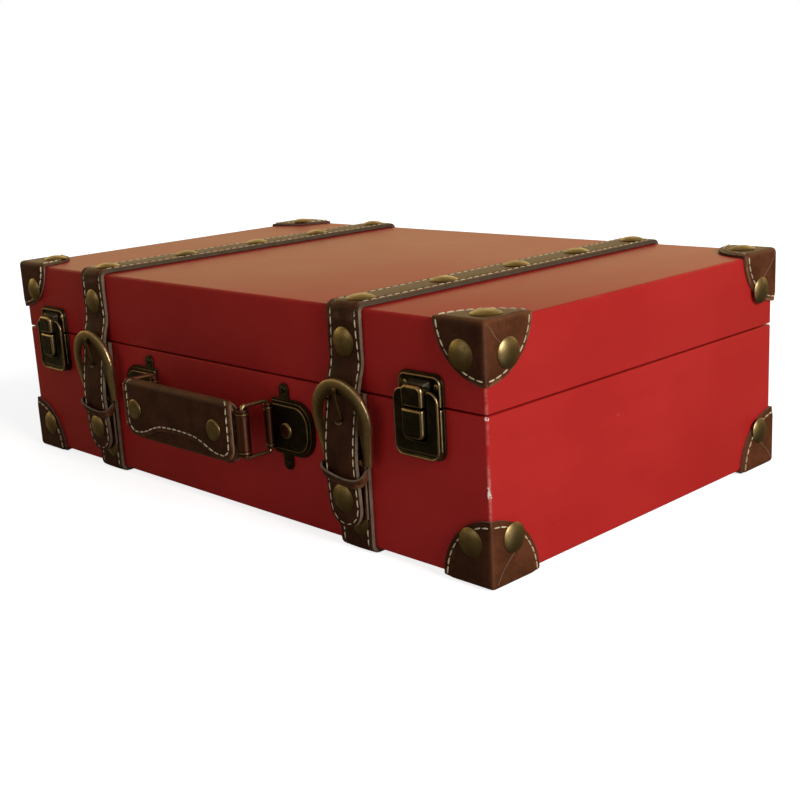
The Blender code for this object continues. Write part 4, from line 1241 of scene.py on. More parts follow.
@dataclass
class Band:
    """Section of a strap: a slightly crowned face, a groove under each row of stitches, rounded sides."""

    width: float = 0.0245
    thick: float = 0.0028
    side_round: float = 0.0004
    stitch_inset: float = 0.0030
    groove: float = 0.00028
    groove_half: float = 0.0007
    crown: float = 0.00025
    side_slope: float = 0.62

    def section(self) -> list[Point]:
        """Outline across the strap, its inner face on the first axis."""
        half, side, top = self.width / 2, self.side_round, self.thick - self.crown
        row = half - self.stitch_inset
        low = [(-half, side), (-half + side, 0.0), (half - side, 0.0), (half, side)]
        face = [(half, top - side), (half - side * 0.3, top - side * 0.3), (half - side, top)]
        face += [(row + self.groove_half, top + 0.4 * self.crown), (row, top - self.groove)]
        face += [(row - self.groove_half, top + 0.5 * self.crown), (row / 2, self.thick - 0.2 * self.crown)]
        return low + both_sides(face, [(0.0, self.thick)])

    def strap(
        self,
        x: float,
        points: Sequence[Vector],
        outward: Sequence[Vector],
        wide: Optional[Sequence[float]] = None,
    ) -> Mesh:
        """Strap along a path of its inner face.

        Args:
            x: middle of the strap.
            points: the path, at X 0.
            outward: outward direction at each point.
            wide: width share at each point.

        Returns:
            Its mesh, with the cut sides in the second finish.
        """
        shares = wide or [1.0] * len(points)
        rows = zip(points, outward, shares)
        stations = [station(point + X_AXIS * x, X_AXIS, out, share) for point, out, share in rows]
        work = sweep(self.section(), stations)
        give_finish(work, 1, lambda face: abs(face.normal.x) > self.side_slope)
        return work

    def stitches(self, x: float, points: Sequence[Vector], outward: Sequence[Vector]) -> Mesh:
        """The two rows of stitches along a strap's path."""
        rows = Stitching()
        depth = self.thick - self.crown - self.groove * 0.5
        for way in (-1, 1):
            offset = X_AXIS * (x + way * (self.width / 2 - self.stitch_inset))
            rows.run([point + offset + out * depth for point, out in zip(points, outward)], outward)
        return rows.mesh()


def round_box(
    start: float, end: float, level: float, way: int, radius: float, gap: float
) -> tuple[list[Vector], list[Vector]]:
    """Path round the box in its side view, from the front to the back.

    Args:
        start: height over the underside where it starts on the front.
        end: height where it ends on the back.
        level: height of the face that it crosses.
        way: 1 over the top, -1 under the underside.
        radius: rounding of the box's edges.
        gap: how far outside the box it lies.

    Returns:
        The points and the outward direction at each.
    """
    turn = way * HALF_TURN / 2
    corners = (
        ((FRONT + radius, level - way * radius), HALF_TURN, HALF_TURN - turn),
        ((BACK - radius, level - way * radius), turn, 0.0),
    )
    flat = [((FRONT - gap, start), (-1.0, 0.0))]
    for centre, first, last in corners:
        for step in range(7):
            angle = first + (last - first) * step / 6
            out = (math.cos(angle), math.sin(angle))
            flat.append(((centre[0] + (radius + gap) * out[0], centre[1] + (radius + gap) * out[1]), out))
    flat.append(((BACK + gap, end), (1.0, 0.0)))
    points, outward = [], []
    for (place, out), (after, _) in zip(flat, flat[1:] + flat[-1:]):
        here, ahead = (Vector((0, depth, UNDERSIDE + height)) for depth, height in (place, after))
        count = max(1, round((ahead - here).length / STRIDE))
        points += [here.lerp(ahead, step / count) for step in range(count)]
        outward += [Vector((0, *out))] * count
    return points, outward


@dataclass
class StrapSet:
    """One strap: its band over the lid, its front with the hanging tip, its base part, loops and buckle."""

    x: float
    side: str
    band: Band = field(default_factory=Band)
    studs: Studs = field(default_factory=Studs)
    radius: float = 0.002
    split: float = 0.1236
    fold: float = 0.1000
    tip_thick: float = 0.0026
    tip_face: float = 0.0031
    tip_standoff: float = 0.0102
    tip_length: float = 0.0867
    bar: float = 0.0485
    bar_reach: float = 0.0053
    tip_shares: tuple[Point, ...] = (
        (0.5905, 0.0), (0.5075, 0.211), (0.4164, 0.408), (0.3172, 0.521), (0.2249, 0.718), (0.0865, 0.944),
        (0.0, 1.0), (-0.098, 0.958), (-0.2134, 0.901), (-0.3287, 0.859), (-0.4280, 0.825),
    )
    round_from_share: float = 0.9
    round_shares: tuple[float, ...] = (0.86, 0.80, 0.70, 0.58, 0.44, 0.28, 0.12)
    end_slope: float = 0.8
    end_steps: int = 20
    bend_start: float = 0.1075
    bend_end: float = 0.0940
    slip_over: float = 0.016
    foot_from: float = 0.046
    foot_over: float = 0.022
    narrow_from: float = 0.102
    narrow_over: float = 0.016
    stud_inset: float = 0.0095
    stud_count: int = 5
    stud_steps: tuple[float, ...] = (0.0, 1.04, 2.06, 3.01, 3.97)
    stud_shift: float = 0.0014
    lid_stud: float = 0.1107
    low_stud: float = 0.0140
    low_stud_shift: float = 0.0036
    tip_stud: float = 0.0270
    tip_shift: float = -0.0014
    tip_inset: float = 0.0018
    low_shift: float = -0.0008
    hole_reach: float = 0.0084
    hole_level: float = 0.0682
    hole_wire: float = 0.00038
    hole_lip: tuple[Triple, ...] = (
        (-0.0030, 0.0, 0.0006), (-0.0022, -0.0002, -0.0002), (-0.0006, -0.0003, -0.0005),
        (0.0010, -0.0002, 0.0), (0.0017, 0.0, 0.0010),
    )
    chape: Band = field(default_factory=lambda: Band(width=0.0243, thick=0.0018, stitch_inset=0.003))
    chape_reach: float = 0.0036
    chape_foot: float = 0.0313
    chape_head: float = 0.0016
    ear_place: float = 0.0074
    ear_half: float = 0.0044
    ear_radii: Point = (0.001352, 0.0019)
    ear_start_share: float = 0.55
    ear_turn_share: float = 1.75
    ear_steps: int = 16
    keeper_tall: float = 0.0052
    keeper_thick: float = 0.0014
    keeper_round: float = 0.0003
    keeper_lean: float = math.radians(24)
    lean_from: float = 0.006
    lean_over: float = 0.004
    keeper_route: tuple[Triple, ...] = (
        (-0.0080, 0.0037, 0.0436), (-0.0140, 0.0042, 0.0437), (-0.0163, 0.0066, 0.0434),
        (-0.0156, 0.0098, 0.0424), (-0.0122, 0.0114, 0.0408), (-0.0072, 0.0118, 0.0395),
        (-0.0015, 0.0119, 0.0385), (0.0045, 0.0118, 0.0379), (0.0096, 0.0113, 0.0379),
        (0.0130, 0.0094, 0.0388), (0.0136, 0.0066, 0.0406), (0.0122, 0.0043, 0.0425),
        (0.0080, 0.0037, 0.0434),
    )

    def build(self, bench: Bench) -> None:
        """Make every piece of the strap."""
        self._lid_band(bench)
        self._front_and_tip(bench)
        self._base_band(bench)
        bench.add_side(
            self.side,
            (self.chape_leather(), "chape_leather", SKIN, self.tab, "chape"),
            (self.keeper(), "keeper_leather", SKIN, self.tab, "keeper"),
        )
        Buckle(self.x, self.side, self.bar, self.bar_reach).build(bench)

    @property
    def tab(self) -> str:
        """Name of the body that folds up at the lid."""
        return f"strap_tab_{self.side}"

    def _lid_band(self, bench: Bench) -> None:
        """Band over the lid, with its stitches and five studs."""
        points, outward = round_box(self.split, SEAM_HEIGHT + CLEAR / 2, BOX_HEIGHT, 1, self.radius, CLEAR)
        pitch = (BACK - FRONT - 2 * self.stud_inset) / (self.stud_count - 1)
        level = UNDERSIDE + BOX_HEIGHT + CLEAR + self.band.thick
        x, first = self.x + self.stud_shift, FRONT + self.stud_inset
        seats = [Vector((x, first + pitch * step, level)) for step in self.stud_steps]
        heads = [self.studs.dome(seat, Z_AXIS) for seat in seats]
        bench.add_side(
            self.side,
            (self.band.strap(self.x, points, outward), "lid_band", SKIN, "lid", "lid_strap"),
            (self.band.stitches(self.x, points, outward), "lid_band_stitches", THREAD, "lid", ""),
            (merged(*heads), "lid_band_studs", STUD, "lid", ""),
        )

    def _base_band(self, bench: Bench) -> None:
        """Band under the base, with its stitches and lower stud."""
        seam = SEAM_HEIGHT - CLEAR / 2
        points, outward = round_box(seam, seam, 0.0, -1, self.radius, CLEAR)
        seat = front(self.x + self.low_stud_shift, CLEAR + self.band.thick, self.low_stud)
        bench.add_side(
            self.side,
            (self.band.strap(self.x, points, outward), "base_band", SKIN, "base", "base_strap"),
            (self.band.stitches(self.x, points, outward), "base_band_stitches", THREAD, "base", ""),
            (self.studs.dome(seat, OUTWARD, self.studs.small), "low_stud", STUD, "base", "base_strap_stud"),
        )

    def _front_and_tip(self, bench: Bench) -> None:
        """Front of the strap with the hanging tip, and two studs; the leather and its stitches are baked in
        place on no body, and the snap stud rides on the tab.
        """
        side = self.side
        face = self.face_path()
        outward = [way.cross(X_AXIS) for way in tangents(face)]
        joint = (self.tab, front(self.x, 0.0, self.bend_start), front(self.x, 0.0, self.bend_end))
        leather = merged(self.front_leather(face, outward), self.hole())
        bench.add(leather, f"strap_front_{side}", SKIN, "lid", f"strap_tip_{side}", joint)
        thread = self.front_stitches(face, outward)
        bench.add(thread, f"strap_front_stitches_{side}", THREAD, "lid", blend=joint)
        head = self.studs.dome(front(self.x, self.tip_face, self.lid_stud), OUTWARD)
        index = min(range(len(face)), key=lambda place: abs(face[place].z - UNDERSIDE - self.tip_stud))
        snap = self.studs.dome(face[index] + X_AXIS * (self.x + self.low_shift), outward[index])
        bench.add_side(
            side,
            (head, "lid_stud", STUD, "lid", "lid_strap_stud"),
            (snap, "snap_stud", STUD, self.tab, "tip_stud"),
        )

    def face_path(self) -> list[Vector]:
        """Face of the strap's front, from the split down to the tip's end."""
        points = [front(0.0, self.tip_face, level) for level in (self.split, (self.split + self.fold) / 2)]
        for up, out in self.tip_shares:
            reach = self.tip_face + out * (self.tip_standoff - self.tip_face)
            points.append(front(0.0, reach, self.bar + up * self.tip_length))
        return smooth_path(points, 5)

    def aside(self, level: float) -> float:
        """How far the slack tip hangs to the left at a height over the underside."""
        drop = clamped((self.fold - level) / self.slip_over)
        foot = clamped((self.foot_from - level) / self.foot_over)
        return drop * (self.tip_shift + foot * (self.low_shift - self.tip_shift))

    def drawn_in(self, level: float) -> float:
        """How much further in than on the tip the stitches lie at a height over the underside."""
        share = clamped((level - self.narrow_from) / self.narrow_over)
        return (self.band.stitch_inset - self.tip_inset) * share

    def front_leather(self, face: Sequence[Vector], outward: Sequence[Vector]) -> Mesh:
        """Leather of the front and the tip, round at its end.

        Args:
            face: path of its face.
            outward: outward direction at each point.

        Returns:
            Its mesh.
        """
        end, half = face[-1], self.band.width / 2
        rows = []
        for point, out in zip(face, outward):
            left = min((end - point).length, half)
            share = math.sqrt(max(0.0, 1 - (1 - left / half) ** 2))
            if share > self.round_from_share:
                rows.append((point, out, share))
        limit, back = (rows[-1][0] - end).length, (face[-2] - end).normalized()
        for share in self.round_shares:
            depth = half * (1 - math.sqrt(1 - share * share))
            if depth < limit:
                rows.append((end + back * depth, outward[-1], share))
        inner = [point - out * self.tip_thick for point, out, _ in rows]
        band = Band(thick=self.tip_thick, stitch_inset=self.tip_inset)
        work = band.strap(self.x, inner, [row[1] for row in rows], [row[2] for row in rows])
        give_finish(work, 1, lambda part: part.normal.z < -self.end_slope)
        seam = half - self.tip_inset
        for vert in work.verts:
            level, off = vert.co.z - UNDERSIDE, vert.co.x - self.x
            if abs(abs(off) - seam) < band.groove_half * 1.4:
                vert.co.x -= math.copysign(self.drawn_in(level), off)
            vert.co.x += self.aside(level)
        return work

    def hole(self) -> Mesh:
        """Raised lower lip of the hole in use."""
        middle = front(self.x + self.tip_shift, self.hole_reach, self.hole_level)
        lip = tube(smooth_path([middle + Vector(step) for step in self.hole_lip], 3), self.hole_wire, 10)
        give_finish(lip, 1, lambda face: True)
        return lip

    def front_stitches(self, face: Sequence[Vector], outward: Sequence[Vector]) -> Mesh:
        """Stitches down the left side of the front, round the tip's end and up the right side.

        Args:
            face: path of the leather's face.
            outward: outward direction at each point.

        Returns:
            Their mesh.
        """
        end, half = face[-1], self.band.width / 2
        lift = self.band.crown + self.band.groove * 0.5
        straight = [(point, out) for point, out in zip(face, outward) if (end - point).length > half]
        left, right = (
            [self.beside(point, way) - out * lift for point, out in straight] for way in (-1, 1)
        )
        down, radius = (end - face[-2]).normalized(), half - self.tip_inset
        foot = end - down * half + X_AXIS * self.x - outward[-1] * lift
        turns = [HALF_TURN * step / self.end_steps for step in range(1, self.end_steps)]
        bottom = [foot + down * radius * math.sin(turn) - X_AXIS * radius * math.cos(turn) for turn in turns]
        outs = [out for _, out in straight]
        path = [point + X_AXIS * self.aside(point.z - UNDERSIDE) for point in left + bottom + right[::-1]]
        rows = Stitching()
        rows.run(path, [*outs, *[outward[-1]] * len(bottom), *reversed(outs)])
        return rows.mesh()

    def beside(self, point: Vector, way: int) -> Vector:
        """Place of the stitch row to one side of a point on the face path."""
        inset = self.tip_inset + self.drawn_in(point.z - UNDERSIDE)
        return point + X_AXIS * (self.x + way * (self.band.width / 2 - inset))

    def chape_leather(self) -> Mesh:
        """Leather tab behind the tip, whose two ears wrap the buckle's bar."""
        low, high = self.bar - self.chape_foot, self.bar - self.chape_head
        points = [front(0.0, self.chape_reach, low + (high - low) * step / 4) for step in range(5)]
        parts = [self.chape.strap(self.x, points, [OUTWARD] * len(points))]
        half, (bore, skin) = self.ear_half, self.ear_radii
        for middle in (-self.ear_place, self.ear_place):
            bar = front(self.x + middle, self.bar_reach, self.bar)
            loop = []
            for step in range(self.ear_steps + 1):
                turn = HALF_TURN * (self.ear_start_share + self.ear_turn_share * step / self.ear_steps)
                loop.append(station(bar, X_AXIS, Vector((0, -math.cos(turn), math.sin(turn)))))
            parts.append(sweep([(-half, bore), (half, bore), (half, skin), (-half, skin)], loop))
        return merged(*parts)

    def keeper(self) -> Mesh:
        """Slack leather loop that the tip passes through, leaning out and hanging lower on its right."""
        path = smooth_path([front(self.x + u, reach, v) for u, reach, v in self.keeper_route], 4)
        stations = []
        for point, way in zip(path, tangents(path)):
            out = way.cross(Z_AXIS).normalized()
            share = clamped((FRONT - point.y - self.lean_from) / self.lean_over)
            up = Matrix.Rotation(self.keeper_lean * share, 3, way) @ way.cross(out)
            if up.z < 0:
                up = -up
            stations.append(station(point, up, way.cross(up)))
        half, deep = self.keeper_tall / 2, self.keeper_thick / 2
        work = sweep(box_outline(half, deep, -deep, self.keeper_round, steps=2), stations)
        give_finish(work, 1, lambda face: abs(face.normal.z) > self.band.side_slope)
        return work


@dataclass
class Buckle:
    """Horseshoe buckle of crowned brass with its bar and a bent prong."""

    x: float
    side: str
    bar: float
    bar_reach: float
    rise: float = 0.044
    top_reach: float = 0.0102
    half_width: float = 0.0222
    foot_half: float = 0.0182
    band: float = 0.0080
    leg: float = 0.0048
    foot_drop: float = 0.0012
    foot_flare: float = 0.0012
    foot_high: float = 0.006
    leg_low: float = 0.010
    sink_share: float = 0.09
    thick: float = 0.0030
    lean: float = math.radians(20)
    bar_radius: float = 0.001
    bar_bite: float = 0.001
    prong_radius: float = 0.0009
    prong_standoff: float = 0.0021
    prong_shares: tuple[Triple, ...] = (
        (0.045, 0.0, 0.0), (0.261, -0.014, 0.0), (0.440, 0.33, -0.08), (0.472, 0.44, -0.03),
        (0.500, 0.53, 0.01), (0.557, 0.62, 0.02), (0.690, 0.77, 0.0), (0.800, 0.88, -0.01),
        (0.872, 0.93, 0.01), (0.893, 0.90, 0.03),
    )
    prong_flat_share: float = 1.25
    prong_tip_share: float = 0.97
    eye_half: float = 0.002
    eye_bore: float = 0.0013
    eye_radius: float = 0.0019
    eye_round: float = 0.0002
    profile_shares: tuple[Point, ...] = (
        (1.0, 0.0), (0.995, 0.22), (0.96, 0.44), (0.89, 0.63), (0.78, 0.77), (0.64, 0.85), (0.48, 0.86),
        (0.30, 0.80), (0.08, 0.67), (-0.18, 0.50), (-0.45, 0.32), (-0.70, 0.15), (-0.90, 0.02), (-1.0, -0.12),
        (-0.97, -0.26), (-0.85, -0.33), (-0.45, -0.36), (0.0, -0.36), (0.45, -0.36), (0.82, -0.33),
        (0.96, -0.20),
    )

    def build(self, bench: Bench) -> None:
        """Make the frame and the prong."""
        brass, side = (Finish.BUCKLE,), self.side
        frame = merged(self.frame(), self.rod())
        bench.add_side(
            side,
            (frame, "buckle_brass", brass, f"buckle_frame_{side}", "buckle_frame"),
            (self.prong(), "prong_brass", brass, f"buckle_prong_{side}", "buckle_prong"),
        )

    def rims(self) -> list[tuple[Point, Point]]:
        """Outer and inner rim of the horseshoe at each station, over the bar."""
        length = math.hypot(self.rise, self.top_reach - self.bar_reach)
        centre = length - self.half_width
        inner = self.foot_half - self.leg
        inner_centre = length - self.band - inner
        outer = [(self.foot_half, -self.foot_drop), (self.foot_half + self.foot_flare, self.foot_high)]
        outer += arc((0.0, centre), self.half_width, -self.lean, HALF_TURN + self.lean, 28)
        outer += [(-x, y) for x, y in reversed(outer[:2])]
        hole = [(inner, -self.foot_drop), (inner, self.foot_high)]
        low, straight = self.leg_low, 4
        hole += [(inner, low + (inner_centre - low) * step / straight) for step in range(straight)]
        count = len(outer) - 2 * len(hole)
        hole += arc((0.0, inner_centre), inner, 0.0, HALF_TURN, count - 1)
        hole += [(-x, y) for x, y in reversed(hole[: 2 + straight])]
        return list(zip(outer, hole))

    def frame(self) -> Mesh:
        """Frame with a crowned face, leaning out to its top."""
        up = Vector((0, -(self.top_reach - self.bar_reach), self.rise)).normalized()
        out = X_AXIS.cross(up) * -1
        foot = front(self.x, self.bar_reach, self.bar)
        stations = []
        for outer, inner in self.rims():
            middle = Vector(outer).lerp(Vector(inner), 0.5)
            across = Vector(outer) - Vector(inner)
            way = X_AXIS * across.x + up * across.y
            place = foot + X_AXIS * middle.x + up * middle.y - out * self.thick * self.sink_share
            stations.append(station(place, way, out, way.length / 2, self.thick))
        return sweep(self.profile_shares, stations)

    def rod(self) -> Mesh:
        """Bar between the feet."""
        inner = self.foot_half - self.leg + self.bar_bite
        ends = [front(self.x + way * inner, self.bar_reach, self.bar) for way in (-1, 1)]
        return tube(ends, self.bar_radius, 16)

    def prong(self) -> Mesh:
        """Prong with its curled eye, its tip resting on the arch."""
        span = self.top_reach + self.prong_standoff - self.bar_reach
        path = smooth_path([
            front(self.x + side * self.half_width, self.bar_reach + out * span, self.bar + up * self.rise)
            for up, out, side in self.prong_shares
        ], 6)
        stations = []
        for index, (point, way) in enumerate(zip(path, tangents(path))):
            share = index / (len(path) - 1)
            size = self.prong_radius * (1.0 + 0.15 * share) * (1.0 if share < self.prong_tip_share else 0.7)
            stations.append(station(point, X_AXIS, way.cross(X_AXIS), size * self.prong_flat_share, size))
        ring = [(math.cos(turn), math.sin(turn)) for turn in ring_turns(14)]
        half, radius, soft = self.eye_half, self.eye_radius, self.eye_round
        profile = [(self.eye_bore, -half), (radius - soft, -half), (radius, soft - half)]
        profile += [(u, -v) for u, v in reversed(profile)]
        eye = lathe(profile, front(self.x, self.bar_reach, self.bar), X_AXIS, 24)
        return merged(sweep(ring, stations), eye)


def off_axis(face: Face, seat: Vector) -> float:
    """How far a face lies from the outward axis through a seat."""
    return (face.calc_center_median() - seat).cross(OUTWARD).length


def screw(seat: Vector, radius: float = 0.0016, height: float = 0.0007) -> Mesh:
    """Small pan head with a cross recess, the recess in the second finish.

    Args:
        seat: middle of its seat.
        radius: its radius.
        height: its height.

    Returns:
        Its mesh, which faces the front.
    """
    slot, deep = radius * 0.58, height * 0.45
    rim = ((0.72, 0.88), (0.95, 0.5), (1.0, 0.15), (1.0, 0.0), (0.0, 0.0))
    profile = [(0.0, height - deep), (slot * 0.9, height - deep), (slot, height)]
    profile += [(radius * across, height * up) for across, up in rim]
    head = lathe(profile, seat, OUTWARD, 24)
    give_finish(head, 1, lambda face: off_axis(face, seat) < slot * 0.95)
    shares = ((0.22, 0.22), (0.98, 0.22), (0.70, 0.70), (0.22, 0.98))
    wedge = [(slot * across, slot * up) for across, up in shares]
    for quarter in range(4):
        turn = 0.4 + quarter * HALF_TURN / 2
        lies = Matrix.Translation(seat + OUTWARD * (height - deep * 0.9)) @ Matrix.Rotation(turn, 4, "Y")
        head = merged(head, prism(wedge, lies @ UPRIGHT, deep * 0.88))
    return head


@dataclass
class Latch:
    """Flap latch: upper plate with its catch, lower plate, hinged flap with a raised rim, sliding button."""

    x: float
    side: str
    half: float = 0.0153
    corner: float = 0.0054
    sharp: float = 0.0004
    soft: float = 0.0003
    low: float = 0.0582
    high: float = 0.1012
    plate: float = 0.0015
    plate_levels: Levels = (
        (0.0, -0.0006, 0), (0.0002, -0.0003, 0), (0.0009, -0.0002, 0), (0.0011, 0.0003, 1),
        (0.0013, 0.0008, 1), (0.0017, 0.0009, 1), (0.0021, 0.0006, 1), (0.0025, -0.0003, 0),
        (0.0034, -0.0005, 0),
    )
    flap_low: float = 0.0585
    flap_high: float = 0.0933
    flap_reach: float = 0.0060
    flap_thick: float = 0.0018
    flap_back_levels: Levels = ((0.0002, 0.0, 0), (0.0, 0.0003, 0))
    flap_levels: Levels = (
        (0.0, -0.0006, 1), (0.0002, -0.0002, 1), (0.0006, 0.0, 1), (0.0010, -0.0001, 0),
        (0.0015, -0.0005, 0), (0.0024, -0.0006, 0),
    )
    least_corner: float = 0.0008
    notch_gap: float = 0.0005
    notch_drop: float = 0.0011
    notch_lip: float = 0.0012
    notch_nook: float = 0.0022
    dark_margins: Triple = (0.0021, 0.0030, 0.0024)
    backing_margins: Triple = (0.0013, 0.0008, 0.0004)
    skirt_inset: float = 0.0030
    skirt_half: float = 0.0006
    skirt_back: float = 0.0012
    skirt_front: float = 0.0014
    catch_half: float = 0.007
    catch_high: float = 0.0958
    catch_reach: float = 0.0090
    catch_sharp: float = 0.0008
    catch_round: float = 0.0030
    catch_levels: Levels = (
        (0.0, -0.0016, 1), (0.00012, -0.0010, 1), (0.0005, -0.00045, 1), (0.0011, -0.00012, 0),
        (0.0019, -0.00002, 0), (0.0030, 0.0, 0),
    )
    slider_low: float = 0.0688
    slider_high: float = 0.0838
    stem_margins: Triple = (0.0015, 0.0032, 0.0006)
    stem_round: float = 0.0005
    stem_thick: float = 0.0013
    block_half: float = 0.0068
    block_low: float = 0.0012
    block_high: float = 0.0976
    block_round: float = 0.0012
    block_levels: Levels = (
        (0.0, 0.0, 0), (0.0002, 0.0012, 0), (0.0007, 0.0022, 0), (0.0009, 0.0042, 0), (0.0013, 0.0047, 0),
        (0.0020, 0.0049, 0),
    )
    screw_x: float = 0.0108
    screw_level: float = 0.0946
    screw_radius: float = 0.0018
    pin_height: float = 0.0612
    pin_reach: float = 0.0043
    pin_inset: float = 0.0012
    pin_radius: float = 0.0008
    cheek_inset: float = 0.0013
    cheek_half: float = 0.0006
    cheek_tall: float = 0.0020
    cheek_rise: float = 0.0010
    knuckle_inset: float = 0.0026
    knuckle_radius: float = 0.0013
    arm_inset: float = 0.0028
    arm_low: float = 0.0012
    arm_high: float = 0.0014
    arm_round: float = 0.0006
    arm_thick: float = 0.0020

    def build(self, bench: Bench) -> None:
        """Make the four parts, the screws and the pin."""
        reach = CLEAR + self.plate * 0.6
        seats = [front(self.x + u, reach, self.screw_level) for u in self.pair(self.screw_x)]
        heads = [screw(seat, self.screw_radius) for seat in seats]
        rod = self.rod(self.pin_inset, self.pin_radius)
        bench.add_side(
            self.side,
            (self.upper(), "latch_top", METAL, "lid", "latch_upper_plate"),
            (self.block(), "latch_catch_back", (Finish.GREY,), "lid", ""),
            # The screw heads take the bright rubbed-rim brass: partly rubbed wear, partly a painted highlight
            # that lifts them out of the shade under the flap and catch.
            (merged(*heads), "latch_screws", (Finish.RIM, Finish.PLATE), "lid", ""),
            (self.lower(), "latch_base", METAL, "base", "latch_lower_plate"),
            (self.flap(), "latch_door", METAL, f"latch_flap_{self.side}", "latch_flap"),
            (self.slider(), "latch_button", METAL, f"latch_slider_{self.side}", "latch_slider"),
            (rod, "latch_rod", (Finish.PLATE,), "base", "latch_pin"),
        )

    @staticmethod
    def pair(offset: float) -> Point:
        """The same offset to the left and to the right."""
        return -offset, offset

    def rod(self, inset: float, radius: float) -> Mesh:
        """Round bar on the flap's axis, its ends inside the flap's outline."""
        ends = [front(self.x + u, self.pin_reach, self.pin_height) for u in self.pair(self.half - inset)]
        return tube(ends, radius, 16)

    def plate_part(self, low: float, high: float, top: bool) -> Mesh:
        """One of the two plates on the box, round at its free end, with a raised and rubbed rim."""

        def outline(margin: float) -> list[Point]:
            """Outline at a margin from the rim."""
            half, free, near = self.half - margin, self.corner - margin, margin * 0.3
            if top:
                return box_outline(half, low + near, high - margin, self.sharp, free, 7)
            return box_outline(half, low + margin, high - near, free, self.sharp, 7)

        return terrace(self.x, outline, [(0.0, CLEAR, 0), *raised(CLEAR + self.plate, self.plate_levels)])

    def pillow(self, base: float, low: float, high: float, feet: float, head: float) -> Mesh:
        """Catch or button: a block with a rounded face and rubbed edges.

        Args:
            base: reach of its back.
            low: height of its lower end.
            high: height of its upper end.
            feet: corner radius at its lower end.
            head: corner radius at its upper end.

        Returns:
            Its mesh.
        """

        def outline(margin: float) -> list[Point]:
            """Outline at a margin from the rim."""
            first, last = (max(radius - margin * 0.6, self.soft) for radius in (feet, head))
            return box_outline(self.catch_half - margin, low + margin, high - margin, first, last)

        return terrace(self.x, outline, [(0.0, base, 0), *raised(self.catch_reach, self.catch_levels)])

    def upper(self) -> Mesh:
        """Upper plate and the catch that the flap closes over."""
        low = SEAM_HEIGHT + CLEAR
        back = CLEAR + self.plate * 0.6
        catch = self.pillow(back, low, self.catch_high, self.catch_sharp, self.catch_round)
        return merged(self.plate_part(low, self.high, True), catch)

    def block(self) -> Mesh:
        """Greyer cast block behind the catch, with sloping cheeks."""

        def outline(margin: float) -> list[Point]:
            """Outline at a margin from the rim."""
            low = SEAM_HEIGHT + self.block_low + margin * 0.3
            return box_outline(self.block_half - margin, low, self.block_high - margin, self.block_round)

        return terrace(self.x, outline, raised(CLEAR + self.plate * 0.5, self.block_levels))

    def lower(self) -> Mesh:
        """Lower plate with the cheeks that hold the flap's pin."""
        parts = [self.plate_part(self.low, SEAM_HEIGHT - CLEAR, False)]
        base = CLEAR + self.plate * 0.5
        low, high = self.pin_height - self.cheek_tall, self.pin_height + self.cheek_tall
        outline = box_outline(self.cheek_half, low, high, self.sharp, steps=3)
        for offset in self.pair(self.half - self.cheek_inset):
            cheek = front_plate(self.x + offset, base, outline, self.pin_reach + self.cheek_rise - base)
            parts.append(soften(cheek, self.soft, 2, 0.9))
        return merged(*parts)

    def flap(self) -> Mesh:
        """Hinged flap: a dished plate notched above for the catch, its sides turned back."""
        face, back = self.flap_reach, self.flap_reach - self.flap_thick
        floor = self.slider_low - self.notch_drop

        def outline(margin: float) -> list[Point]:
            """Outline at a margin from the rim."""
            u, notch = self.half - margin, self.catch_half + self.notch_gap + margin
            over, r = self.flap_high - margin, max(self.corner - margin, self.least_corner)
            lip, nook = max(self.notch_lip - margin * 0.6, self.soft), self.notch_nook + margin
            right = ((u, self.flap_low + margin, r), (u, over, r * 1.12), (notch, over, lip))
            return fillet(both_sides((*right, (notch, floor - margin, nook))))

        levels = [*raised(back, self.flap_back_levels), *raised(face, self.flap_levels)]
        plate = terrace(self.x, outline, levels)
        give_finish(plate, 0, self.in_notch)
        wide, under, over = self.backing_margins
        backing = box_outline(self.catch_half + wide, floor - under, SEAM_HEIGHT - over, 0.0)
        floor_plate = front_plate(self.x, back, backing, self.flap_thick * 0.45)
        low, high = self.pin_height - self.arm_low, self.pin_height + self.arm_high
        arm = box_outline(self.half - self.arm_inset, low, high, self.arm_round)
        hinge = front_plate(self.x, self.pin_reach - self.arm_low, arm, self.arm_thick)
        knuckle = self.rod(self.knuckle_inset, self.knuckle_radius)
        return merged(plate, self.skirt(), floor_plate, knuckle, soften(hinge, self.soft, 2, 0.9))

    def in_notch(self, face: Face) -> bool:
        """Whether a face of the flap lies along its notch, where the rim stays dark."""
        place = face.calc_center_median()
        wide, under, over = self.dark_margins
        low, high = self.slider_low - under, self.flap_high - over
        return abs(place.x - self.x) < self.catch_half + wide and low < place.z - UNDERSIDE < high

    def skirt(self) -> Mesh:
        """Sides of the flap, turned back towards the box."""
        edge, r = self.half - self.skirt_inset, self.corner
        foot = self.flap_low + self.skirt_inset + r
        right = [(edge, self.flap_high - r), (edge, foot)]
        right += arc((edge - r, foot), r, 0.0, -HALF_TURN / 2, 6)[1:]
        reach = self.flap_reach - self.flap_thick - self.skirt_back
        points = [front(self.x + u, reach, v) for u, v in both_sides(right)]
        ways = tangents(points)
        stations = [station(point, way.cross(OUTWARD), OUTWARD) for point, way in zip(points, ways)]
        half, low, high = self.skirt_half, -self.skirt_back, self.skirt_front
        return sweep([(-half, low), (half, low), (half, high), (-half, high)], stations)

    def slider(self) -> Mesh:
        """Sliding button, level with the catch and clear of the flap, on a stem that runs in the notch."""
        back, low, high = self.flap_reach + CLEAR / 2, self.slider_low, self.slider_high
        button = self.pillow(back, low, high, self.catch_round, self.catch_sharp)
        wide, under, over = self.stem_margins
        outline = box_outline(self.catch_half - wide, low + under, high - over, self.stem_round)
        stem = front_plate(self.x, self.flap_reach - self.flap_thick * 0.4, outline, self.stem_thick)
        return merged(button, stem)


